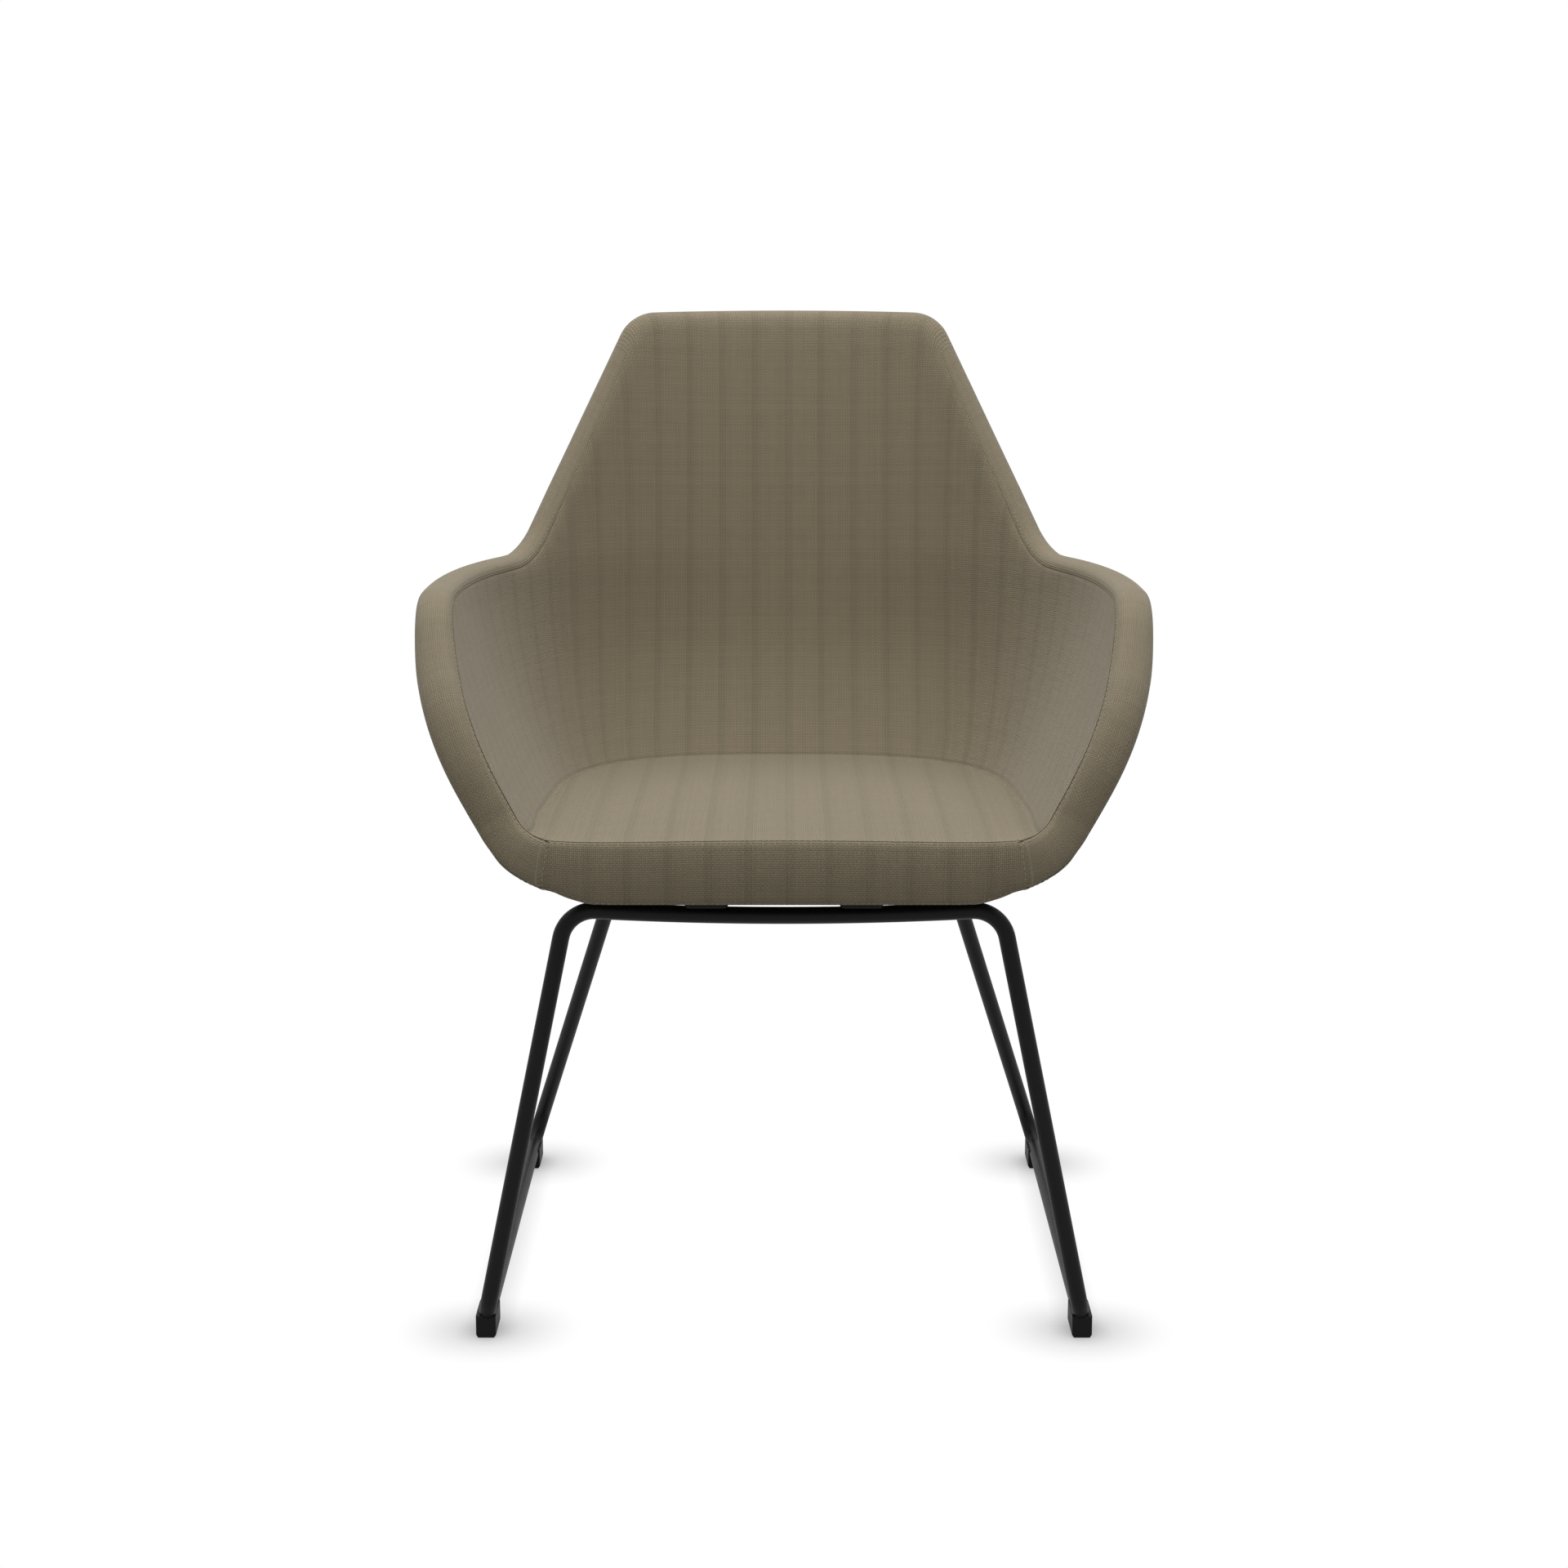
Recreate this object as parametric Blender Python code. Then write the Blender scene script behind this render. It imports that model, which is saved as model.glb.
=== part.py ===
"""Upholstered tub chair on a bent-rod sled base, modelled piece by piece.

Lengths are in metres, +Z is up and the chair faces -Y. Every piece is modelled with y = 0 at the front edge
of the seat, and the parent empty then centres the chair over the origin.

The tub is one double-curved surface. A column runs from the middle of the seat out to the seam at the foot
of the wall and up the wall to the rim. Covers, foam and core are layers between depths under that surface,
so neighbouring layers stay parallel and the same clearance apart.
"""

import math

import bmesh
import bpy
import numpy as np
from mathutils import Vector

# Seat
SEAT_HEIGHT = 0.440
SEAT_DEPTH = 0.461
SEAT_HALF_WIDTH = 0.196
SEAT_DROP = 0.018
SEAT_EDGE_RISE = 0.010
FRONT_EDGE_RISE = 0.0035
SEAT_CROWN = 0.006
CROWN_RUN = 0.120
SEAT_THICKNESS = 0.073
FRONT_THICKNESS = 0.047
UNDERSIDE_RAMP = 0.22

# Arms and back, measured on the inside of the tub
ARM_HALF_WIDTH = 0.273
ARM_RISE = 0.168
ARM_TOP_REACH = 0.151
ARM_KNEE_REACH = 0.050
ARM_KNEE_RISE = 0.090
ARM_TOP_RADIUS = 0.100
ARM_KNEE_RADIUS = 0.120
FLARE_HEIGHT = 0.227
FRONT_LIP = 0.003
FRONT_FLAT = 0.024
FRONT_RADIUS = 0.026
CORNER_RADIUS = 0.022
BACK_RISE = 0.3780
BACK_LEAN = 0.130
BACK_HOLLOW = 0.002
BACK_FLARE = 0.034
BACK_FLARE_HEIGHT = 0.110
TOP_HALF_WIDTH = 0.127
TOP_CROWN = 0.002
TOP_RADIUS = 0.022
NOTCH_HALF_WIDTH = 0.2175
NOTCH_REACH = 0.035
TUB_CENTRE = 0.200
SQUARENESS_SEAT = 2.9
SQUARENESS_ARM = 2.3

# Walls of the tub and its padded edge
WALL_AT_SEAT = 0.032
CORNER_FULLNESS = 0.006
WALL_BELLY = 0.034
WALL_UPPER = 0.030
BELLY_DROP = 0.050
BELLY_RISE = 0.090
EDGE_BULGE = 0.012
FRONT_BULGE = 0.006
BULGE_RUN = 0.060
BULGE_FULLNESS = 0.8
CORNER_TILT = 0.75

# Layers
GAP = 0.0003
FABRIC = 0.0015
OUTER_FOAM = 0.0086
CORE = 0.009

# Sled frame
ROD_RADIUS = 0.007
FRONT_BAR_DEPTH = 0.129
FRONT_BAR_HALF = 0.177
FRONT_BAR_BOW = 0.0054
REAR_BAR_DEPTH = 0.409
REAR_BAR_HALF = 0.142
RUNNER_HALF = 0.247
RUNNER_FRONT = 0.101
RUNNER_REAR = 0.609
TOP_BEND = 0.028
RUNNER_BEND = 0.024

# Mounting straps and fasteners
STRAP_WIDTH = 0.035
STRAP_THICKNESS = 0.004
STRAP_HALF_SPACING = 0.063
STRAP_OVERHANG = 0.012
FRONT_BOLT_DEPTH = 0.175
REAR_BOLT_MARGIN = 0.121
BOLT_RADIUS = 0.003
BOLT_HEAD_RADIUS = 0.0065
BOLT_HEAD_HEIGHT = 0.0038
BOLT_SOCKET_RADIUS = 0.0022
BOLT_SOCKET_DEPTH = 0.0022
WASHER_RADIUS = 0.009
WASHER_THICKNESS = 0.0016
SPACER_RADIUS = 0.009
NUT_FLANGE_RADIUS = 0.010
NUT_FLANGE_THICKNESS = 0.0015
NUT_BARREL_RADIUS = 0.005
NUT_BARREL_LENGTH = 0.0075

# Glides
GLIDE_SOLE = 0.009
GLIDE_LENGTH = 0.040
GLIDE_WALL = 0.001
GLIDE_SOLE_WIDTH = 0.0134
GLIDE_BEVEL = 0.0025
GLIDE_GRIP = 0.003
GLIDE_SETBACK = 0.005
REAR_GLIDE_SETBACK = 0.018

# How finely the curves are drawn
PLAN_STEPS = 181
SEAT_ROWS = (0.0, 0.45, 0.64, 0.74, 0.83, 0.92, 1.0)
WALL_ROWS = (0.0, 0.25, 0.55, 0.8, 1.0)
BEAD_ROWS = 4
COLUMN_LENGTH = 0.068
COLUMN_TURN = math.radians(28)
ROD_SIDES = 12
HARDWARE_SIDES = 12
FLAT_SHARE = 0.64
THICK_SHARE = 0.70
CORNER_STEPS = 3
SAME_POINT = 1e-6

# Heights and depths that follow from the sizes above
ARM_TOP = SEAT_HEIGHT + ARM_RISE
BACK_TOP = SEAT_HEIGHT + BACK_RISE
UNDERSIDE = SEAT_HEIGHT - SEAT_THICKNESS
BOLT_DEPTHS = (FRONT_BOLT_DEPTH, SEAT_DEPTH - REAR_BOLT_MARGIN)
FOAM_FACE = FABRIC + GAP
OUTER_FOAM_BACK = FOAM_FACE + OUTER_FOAM
CORE_OUTSIDE = OUTER_FOAM_BACK + GAP
CORE_INSIDE = CORE_OUTSIDE + CORE
LINER_BACK = CORE_INSIDE + GAP
STRAP_TOP = UNDERSIDE - GAP
STRAP_BOTTOM = STRAP_TOP - STRAP_THICKNESS
REAR_BAR_HEIGHT = STRAP_BOTTOM - GAP - ROD_RADIUS
STRAP_OUTER_SHARE = (STRAP_HALF_SPACING + STRAP_WIDTH / 2) / FRONT_BAR_HALF
FRONT_BAR_MIDDLE = REAR_BAR_HEIGHT - FRONT_BAR_BOW * STRAP_OUTER_SHARE ** 2
RUNNER_HEIGHT = GLIDE_SOLE + ROD_RADIUS


def smooth(share):
    """Ease from 0 to 1, level at both ends."""
    share = np.clip(share, 0.0, 1.0)
    return share * share * (3 - 2 * share)


def unit(vectors):
    """Vectors scaled to length 1 along their last axis."""
    return vectors / np.linalg.norm(vectors, axis=-1, keepdims=True)


def rounded(points, radii, turn_step=math.radians(15)):
    """A path through the points whose inner corners are arcs of the given radii."""
    points = [np.asarray(p, float) for p in points]
    path = [points[0]]
    for before, corner, after, radius in zip(points, points[1:], points[2:], radii):
        back, ahead = unit(before - corner), unit(after - corner)
        half = math.acos(np.clip(back @ ahead, -1, 1)) / 2
        centre = corner + unit(back + ahead) * radius / math.sin(half)
        start = corner + back * radius / math.tan(half) - centre
        end = corner + ahead * radius / math.tan(half) - centre
        sweep = math.pi - 2 * half
        steps = max(2, math.ceil(sweep / turn_step))
        for k in range(steps + 1):
            angle = sweep * k / steps
            path.append(centre + (start * math.sin(sweep - angle) + end * math.sin(angle)) / math.sin(sweep))
    path.append(points[-1])
    return np.array(path)


def spaced(path, step):
    """The path with points added on its long stretches."""
    out = [path[0]]
    for a, b in zip(path, path[1:]):
        pieces = max(1, math.ceil(np.linalg.norm(b - a) / step))
        out += [a + (b - a) * k / pieces for k in range(1, pieces + 1)]
    return np.array(out)


# The wall of the tub

def half_width(z):
    """Half the inside width between the arms at a height: flared from the seat, then upright."""
    share = min((z - SEAT_HEIGHT) / FLARE_HEIGHT, 1.0)
    return ARM_HALF_WIDTH - (ARM_HALF_WIDTH - SEAT_HALF_WIDTH) * (1 - share) ** 2


def back_depth(z):
    """Depth of the back on the centre line at a height: flared from the seat, then leaned, and hollowed a little."""
    share = (z - SEAT_HEIGHT) / BACK_RISE
    low = 1 - min((z - SEAT_HEIGHT) / BACK_FLARE_HEIGHT, 1.0)
    lean = (BACK_LEAN - BACK_FLARE) * share + BACK_FLARE * (1 - low * low)
    return SEAT_DEPTH + lean - 4 * BACK_HOLLOW * share * (1 - share)


def plan_curve(z):
    """Half of the round back in plan at a height: widths, depths and the run along it."""
    share = np.clip((z - SEAT_HEIGHT) / ARM_RISE, 0, 1)
    power = 2 / (SQUARENESS_SEAT + (SQUARENESS_ARM - SQUARENESS_SEAT) * share)
    angle = np.linspace(0, math.pi / 2, PLAN_STEPS)
    x = half_width(z) * np.sin(angle) ** power
    y = TUB_CENTRE + (back_depth(z) - TUB_CENTRE) * np.abs(np.cos(angle)) ** power
    run = np.concatenate([[0], np.cumsum(np.hypot(np.diff(x), np.diff(y)))])
    return x, y, run / run[-1]


def wall_point(column, z):
    """A point of the wall. Columns go 0 to 1 round the back from its middle, and 1 to 2 along the arm."""
    if column < 0:
        return wall_point(-column, z) * (-1, 1, 1)
    if column >= 1:
        return np.array((half_width(z), TUB_CENTRE * (2 - column), z))
    x, y, run = plan_curve(z)
    return np.array((np.interp(column, run, x), np.interp(column, run, y), z))


def wall_normal(column, z, step=0.002):
    """Unit normal of the wall, pointing out of the tub."""
    along = wall_point(column + step, z) - wall_point(column - step, z)
    up = wall_point(column, z + step) - wall_point(column, z - step)
    return unit(np.cross(up, along))


def column_at_width(x, z):
    """The column that has this half width at this height."""
    widths, _, run = plan_curve(z)
    return np.interp(x, widths, run)


def column_at_depth(y, z):
    """The column that has this depth at this height."""
    if y <= TUB_CENTRE:
        return 2 - y / TUB_CENTRE
    _, depths, run = plan_curve(z)
    return np.interp(-y, -depths, run)


def seam_height(y):
    """Height of the seam between seat and wall at a depth."""
    return SEAT_HEIGHT - SEAT_DROP * y / SEAT_DEPTH + edge_rise(y)


def edge_rise(y):
    """How far the seat rises to its seam at a depth: least at the front edge."""
    return FRONT_EDGE_RISE + (SEAT_EDGE_RISE - FRONT_EDGE_RISE) * smooth(y / CROWN_RUN)


def corner_turn(y):
    """Share of the rounded front corner's turn at a depth, from 0 on the arm to 1 at the front."""
    return np.arcsin(np.clip(1 - y / CORNER_RADIUS, 0, 1)) * 2 / math.pi


def rim_path():
    """The rim from the top's middle down the back, along the arm and to the seat's front corner."""
    edge = [(0, BACK_TOP + TOP_CROWN), (TOP_HALF_WIDTH, BACK_TOP), (NOTCH_HALF_WIDTH, ARM_TOP)]
    edge = spaced(rounded(edge, [TOP_RADIUS]), 0.01)
    back = [(column_at_width(x, z), z) for x, z in edge]
    notch = wall_point(*back[-1])
    knee = SEAT_HEIGHT + ARM_KNEE_RISE
    low = seam_height(0) + FRONT_LIP
    arm = [(notch[1], ARM_TOP), (ARM_TOP_REACH, ARM_TOP), (ARM_KNEE_REACH, knee), (FRONT_FLAT, low), (0, low)]
    arm = spaced(rounded(arm, [ARM_TOP_RADIUS, ARM_KNEE_RADIUS, FRONT_RADIUS]), 0.01)
    front = [(column_at_depth(y, z), z) for y, z in arm]
    return round_notch(np.array(back), np.array(front))


def round_notch(back, front):
    """Joins the two stretches of the rim with a hollow curve instead of a sharp corner."""
    corner = back[-1]
    foot = wall_point(*corner)
    far_back = np.array([np.linalg.norm(wall_point(*p) - foot) > NOTCH_REACH for p in back])
    far_front = np.array([np.linalg.norm(wall_point(*p) - foot) > NOTCH_REACH for p in front])
    start, end = back[far_back][-1], front[far_front][0]
    share = np.linspace(0, 1, 9)[1:-1, None]
    curve = (1 - share) ** 2 * start + 2 * share * (1 - share) * corner + share ** 2 * end
    return np.vstack([back[far_back], curve, front[far_front]])


def columns_of_tub():
    """(column, rim height) pairs, closer together where the rim turns and round the front corner."""
    path = rim_path()
    points = np.array([wall_point(*p) for p in path])
    lengths = np.linalg.norm(np.diff(points, axis=0), axis=1)
    heading = unit(np.diff(points, axis=0))
    turns = np.arccos(np.clip((heading[1:] * heading[:-1]).sum(axis=1), -1, 1))
    turns = (np.concatenate([[0], turns]) + np.concatenate([turns, [0]])) / 2
    measure = np.concatenate([[0], np.cumsum(lengths / COLUMN_LENGTH + turns / COLUMN_TURN)])
    turns = np.linspace(0, math.pi / 2, CORNER_STEPS + 1)
    corner = np.interp(2 - CORNER_RADIUS * (1 - np.sin(turns)) / TUB_CENTRE, path[:, 0], measure)
    count = math.ceil(corner[0])
    at = np.concatenate([np.linspace(0, corner[0], count + 1), corner[1:]])
    return np.column_stack([np.interp(at, measure, path[:, k]) for k in (0, 1)])


def wall_thickness(z, rise):
    """Thickness of the wall at a height, which is also a rise above the seam: fullest low on the arms."""
    upper = WALL_UPPER + (WALL_BELLY - WALL_UPPER) * smooth((ARM_TOP - z) / BELLY_DROP)
    return WALL_AT_SEAT + (upper - WALL_AT_SEAT) * smooth(rise / BELLY_RISE)


class Tub:
    """The inside surface of the tub on a grid of columns, with the way out of it and its thickness there."""

    def __init__(self):
        self.columns = columns_of_tub()
        self.last = len(self.columns) - 1
        self.foot = np.array([self.foot_point(c) for c, _ in self.columns])
        turn = corner_turn(self.foot[:, 1:2])
        self.inset = CORNER_RADIUS * (1 - np.cos(turn * math.pi / 2))
        self.tilt = np.array((0.0, 0.0, -CORNER_TILT)) * turn ** 1.5
        self.fullness = CORNER_FULLNESS * turn ** 2
        self.foot[:, :1] -= self.inset
        normals = np.array([wall_normal(c, p[2]) for (c, _), p in zip(self.columns, self.foot)])
        self.foot_normal = unit(normals + self.tilt)
        self.make_seat()
        self.make_wall()
        self.make_edge()

    @staticmethod
    def foot_point(column):
        """Where a column crosses the seam at the foot of the wall."""
        rough = wall_point(column, SEAT_HEIGHT)
        return wall_point(column, seam_height(rough[1]))

    def make_seat(self):
        """Seat rows, from the middle of the seat out to the seam."""
        share = np.array(SEAT_ROWS)[None, :, None]
        middle = np.column_stack([0 * self.foot[:, 0], np.minimum(self.foot[:, 1], TUB_CENTRE)])
        plan = middle[:, None] + (self.foot[:, None, :2] - middle[:, None]) * share
        share, y = share[..., 0], plan[..., 1]
        crown = FRONT_EDGE_RISE + (SEAT_CROWN - FRONT_EDGE_RISE) * smooth(y / CROWN_RUN)
        rise = edge_rise(self.foot[:, 1:2]) * share ** 6 + crown * (1 - share ** 2)
        z = SEAT_HEIGHT - SEAT_DROP * y / SEAT_DEPTH + rise
        self.seat = np.dstack([plan, z])
        turn = np.clip((share - FLAT_SHARE) / (1 - FLAT_SHARE), 0, 1)[..., None]
        down = np.array((0.0, 0.0, -1.0))
        self.seat_out = unit(down * (1 - turn) + self.foot_normal[:, None] * turn)
        floor = np.maximum(UNDERSIDE, SEAT_HEIGHT - FRONT_THICKNESS - UNDERSIDE_RAMP * y)
        thin = smooth((share - THICK_SHARE) / (1 - THICK_SHARE))
        self.seat_thick = ((z - floor) * (1 - thin) + (WALL_AT_SEAT + self.fullness) * thin)[..., None]

    def make_wall(self):
        """Wall rows, from the seam up to the rim."""
        points, normals, thick = [], [], []
        for (column, top), foot in zip(self.columns, self.foot):
            rise = top - foot[2]
            heights = [foot[2] + rise * share for share in WALL_ROWS]
            points.append([wall_point(column, z) for z in heights])
            normals.append([wall_normal(column, z) for z in heights])
            thick.append([wall_thickness(z, z - foot[2]) for z in heights])
        self.wall, self.wall_out = np.array(points), unit(np.array(normals) + self.tilt[:, None])
        self.wall[..., 0] -= self.inset
        self.wall_thick = np.array(thick)[..., None] + self.fullness[:, None]

    def make_edge(self):
        """The edge all round: down the rim, then from the front corner to the seat's front middle."""
        inner = np.vstack([self.wall[:, -1], self.seat[-1, ::-1]])
        self.chord = np.vstack([self.wall_out[:, -1], self.seat_out[-1, ::-1]])
        self.chord_length = np.vstack([self.wall_thick[:, -1], self.seat_thick[-1, ::-1]])
        self.edge_middle = inner + self.chord * self.chord_length / 2
        along = np.gradient(self.edge_middle, axis=0)
        along[0], along[-1] = (1, 0, 0), (-1, 0, 0)
        self.edge_out = unit(np.cross(along, self.chord))
        rise = smooth((inner[:, 2:] - SEAT_HEIGHT) / BULGE_RUN)
        self.bulge = FRONT_BULGE + (EDGE_BULGE - FRONT_BULGE) * rise

    def seat_layer(self, depth):
        """Seat points at a depth under the sitting surface."""
        return self.seat + self.seat_out * depth

    def seat_from_under(self, depth):
        """Seat points at a depth inside the underside."""
        return self.seat + self.seat_out * (self.seat_thick - depth)

    def wall_layer(self, depth):
        """Wall points at a depth behind the inside of the tub."""
        return self.wall + self.wall_out * depth

    def wall_from_outside(self, depth):
        """Wall points at a depth inside the outside of the tub."""
        return self.wall + self.wall_out * (self.wall_thick - depth)

    def bead(self, inset):
        """The padded edge's rounded section at every edge point, drawn in by an inset."""
        angle = np.linspace(0, math.pi, BEAD_ROWS + 1)[None, :, None]
        across = self.chord[:, None] * (self.chord_length[:, None] / 2 - inset) * -np.cos(angle)
        height = (self.bulge[:, None] - inset) * np.abs(np.sin(angle)) ** BULGE_FULLNESS
        return self.edge_middle[:, None] + across + self.edge_out[:, None] * (GAP + height)

    def bead_seat(self, inset):
        """The straight line that closes the rounded section, a clearance above the layers' ends."""
        angle = np.linspace(0, math.pi, BEAD_ROWS + 1)[None, :, None]
        across = self.chord[:, None] * (self.chord_length[:, None] / 2 - inset) * -np.cos(angle)
        return self.edge_middle[:, None] + across + self.edge_out[:, None] * GAP

    def top_corner(self):
        """The column just past the top corner of the back, where the edge bands begin."""
        return int(np.argmax(self.columns[:, 1] < BACK_TOP - TOP_RADIUS))


# Making objects

def make_material(name, colour, roughness, metallic=0.0):
    """A plain finish."""
    material = bpy.data.materials.new(name)
    material.use_nodes = True
    shader = material.node_tree.nodes["Principled BSDF"]
    shader.inputs["Base Color"].default_value = (*colour, 1.0)
    shader.inputs["Roughness"].default_value = roughness
    shader.inputs["Metallic"].default_value = metallic
    return material


def make_object(name, bm, material, chair):
    """Turns a bmesh into a named, smooth-shaded object under the chair's empty."""
    mesh = bpy.data.meshes.new(name)
    bm.to_mesh(mesh)
    bm.free()
    mesh.shade_smooth()
    mesh.set_sharp_from_angle(angle=math.radians(35))
    mesh.materials.append(material)
    obj = bpy.data.objects.new(name, mesh)
    bpy.context.scene.collection.objects.link(obj)
    obj.parent = chair
    return obj


def mirror_halves(obj):
    """Completes a piece that was modelled as its right half."""
    mirror = obj.modifiers.new("other_half", "MIRROR")
    mirror.merge_threshold = 0.00001


def flip_to_left(bm):
    """Turns a right-hand mesh into its left-hand twin."""
    for vert in bm.verts:
        vert.co.x = -vert.co.x
    bmesh.ops.reverse_faces(bm, faces=bm.faces)


def hidden_cutter(name, bm, chair):
    """A guide that only cuts other pieces."""
    mesh = bpy.data.meshes.new(name)
    bm.to_mesh(mesh)
    bm.free()
    obj = bpy.data.objects.new(name, mesh)
    bpy.context.scene.collection.objects.link(obj)
    obj.parent = chair
    obj.hide_render = True
    obj.display_type = "WIRE"
    return obj


def cut(obj, cutter):
    """Cuts one piece with a guide."""
    boolean = obj.modifiers.new("cut_" + cutter.name, "BOOLEAN")
    boolean.operation = "DIFFERENCE"
    boolean.object = cutter


def thick_patch(face, back, kept=None, runs_down=False):
    """A closed sheet between two grids of points, left open along x = 0 for its mirrored half.

    Only the cells that kept allows are made. Cells whose rows run down the wall are split along the other
    diagonal, and ends that face each other along the same one, so that both sides of a joint are parallel.
    """
    columns, rows = face.shape[:2]
    bm = bmesh.new()
    front = [[bm.verts.new(face[i, j]) for j in range(rows)] for i in range(columns)]
    rear = [[bm.verts.new(back[i, j]) for j in range(rows)] for i in range(columns)]
    border = {}
    for i in range(columns - 1):
        for j in range(rows - 1):
            if kept is not None and not kept(i, j):
                continue
            ring = [(i, j), (i + 1, j), (i + 1, j + 1), (i, j + 1)]
            if runs_down:
                ring = ring[1:] + ring[:1]
            bm.faces.new([front[a][b] for a, b in ring])
            bm.faces.new([rear[a][b] for a, b in ring[:1] + ring[:0:-1]])
            for a, b in zip(ring, ring[1:] + ring[:1]):
                if border.pop((b, a), None) is None:
                    border[a, b] = True
    for a, b in border:
        if max(abs(face[a][0]), abs(face[b][0])) > SAME_POINT:
            wall = [front[b[0]][b[1]], front[a[0]][a[1]], rear[a[0]][a[1]], rear[b[0]][b[1]]]
            bm.faces.new(wall[1:] + wall[:1] if a < b else wall)
    bmesh.ops.triangulate(bm, faces=bm.faces, quad_method="FIXED")
    bmesh.ops.remove_doubles(bm, verts=bm.verts, dist=SAME_POINT)
    loose = [v for v in bm.verts if not v.link_faces]
    bmesh.ops.delete(bm, geom=loose, context="VERTS")
    return bm


def trimmed(grid, start=False, end=False):
    """A grid shortened by a clearance along its first or last column."""
    grid = grid.copy()
    if start:
        grid[0] += unit(grid[1] - grid[0]) * GAP
    if end:
        grid[-1] += unit(grid[-2] - grid[-1]) * GAP
    return grid


def lathe(profile, sides=HARDWARE_SIDES):
    """A turned solid from (radius, height) points that run from its top to its bottom."""
    bm = bmesh.new()
    rings = []
    for radius, height in profile:
        angles = [2 * math.pi * k / sides for k in range(sides)]
        rings.append([bm.verts.new((radius * math.cos(a), radius * math.sin(a), height)) for a in angles])
    for upper, lower in zip(rings, rings[1:]):
        for k in range(sides):
            n = (k + 1) % sides
            bm.faces.new([upper[k], lower[k], lower[n], upper[n]])
    return bm


def capped(bm):
    """Closes the two open ends of a turned solid."""
    bmesh.ops.holes_fill(bm, edges=[e for e in bm.edges if e.is_boundary], sides=0)
    bmesh.ops.recalc_face_normals(bm, faces=bm.faces)
    return bm


def bored(profile):
    """A turned solid with a bore, from a profile walked once round its wall."""
    bm = lathe(profile + profile[:1])
    bmesh.ops.remove_doubles(bm, verts=bm.verts, dist=SAME_POINT)
    return bm


def sleeve(outer, bore, top, bottom):
    """A plain tube."""
    return bored([(bore, top), (outer, top), (outer, bottom), (bore, bottom)])


def moved(bm, x, y):
    """A mesh shifted in plan."""
    bmesh.ops.translate(bm, verts=bm.verts, vec=Vector((x, y, 0)))
    return bm


def sweep(path, radius, sides=ROD_SIDES):
    """A round rod along a path, closed at both ends."""
    bm = bmesh.new()
    heading = unit(np.gradient(path, axis=0))
    across = unit(np.cross(heading[0], (0.0, 0.0, 1.0)))
    rings = []
    for point, ahead in zip(path, heading):
        across = unit(across - ahead * (across @ ahead))
        other = np.cross(ahead, across)
        angles = [2 * math.pi * (k + 0.5) / sides for k in range(sides)]
        ring = [point + radius * (across * math.cos(a) + other * math.sin(a)) for a in angles]
        rings.append([bm.verts.new(p) for p in ring])
    for first, second in zip(rings, rings[1:]):
        for k in range(sides):
            n = (k + 1) % sides
            bm.faces.new([first[k], first[n], second[n], second[k]])
    bm.faces.new(rings[0][::-1])
    bm.faces.new(rings[-1])
    return bm


# The pieces

def add_core(tub, chair, finish):
    """Moulded shell that carries the load, with four bores for the tee nuts."""
    face = np.hstack([tub.seat_from_under(CORE_INSIDE), tub.wall_from_outside(CORE_INSIDE)[:, 1:]])
    back = np.hstack([tub.seat_from_under(CORE_OUTSIDE), tub.wall_from_outside(CORE_OUTSIDE)[:, 1:]])
    core = make_object("shell_core", thick_patch(face, back), finish, chair)
    mirror_halves(core)
    return core


def add_liner(tub, chair, finish):
    """Foam inside the back and arms, rolled over the core's edge to its outside."""
    rim = len(tub.columns)
    inner = tub.wall_from_outside(LINER_BACK)
    outer = tub.wall_from_outside(OUTER_FOAM_BACK)[:, -1:]
    lift = tub.edge_out[:rim, None] * GAP
    inner[:, -1:] += lift
    share = np.linspace(0, 1, BEAD_ROWS + 1)[None, 1:, None]
    over_edge = inner[:, -1:] + (outer + lift - inner[:, -1:]) * share
    face = np.hstack([tub.wall_layer(FOAM_FACE), tub.bead(FOAM_FACE)[:rim, 1:]])
    liner = thick_patch(face, np.hstack([inner, over_edge]))
    mirror_halves(make_object("foam_liner", liner, finish, chair))


def add_outer_padding(tub, chair, finish):
    """Thin foam over the outside of the core and its underside."""
    face = np.hstack([tub.wall_from_outside(FOAM_FACE)[:, ::-1], tub.seat_from_under(FOAM_FACE)[:, -2::-1]])
    back = np.hstack([tub.wall_from_outside(OUTER_FOAM_BACK)[:, ::-1],
                      tub.seat_from_under(OUTER_FOAM_BACK)[:, -2::-1]])
    padding = make_object("outer_padding", thick_patch(face, back, runs_down=True), finish, chair)
    mirror_halves(padding)
    return padding


def inside_seam(layer):
    """Seat points whose last row stops a clearance short of the seam."""
    layer = layer.copy()
    layer[:, -1] += unit(layer[:, -2] - layer[:, -1]) * GAP
    return layer


def add_seat_foam(tub, chair, finish):
    """Crowned seat cushion on the core."""
    face = inside_seam(tub.seat_layer(FOAM_FACE))
    back = inside_seam(tub.seat_from_under(LINER_BACK))
    foam = make_object("seat_foam", thick_patch(face, back), finish, chair)
    mirror_halves(foam)
    return foam


def add_front_roll(tub, chair, finish):
    """Foam roll along the front edge of the seat."""
    part = slice(tub.last, None)
    face = trimmed(tub.bead(FOAM_FACE)[part], start=True)
    back = trimmed(tub.bead_seat(FOAM_FACE)[part], start=True)
    roll = make_object("front_roll", thick_patch(face, back), finish, chair)
    mirror_halves(roll)


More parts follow.
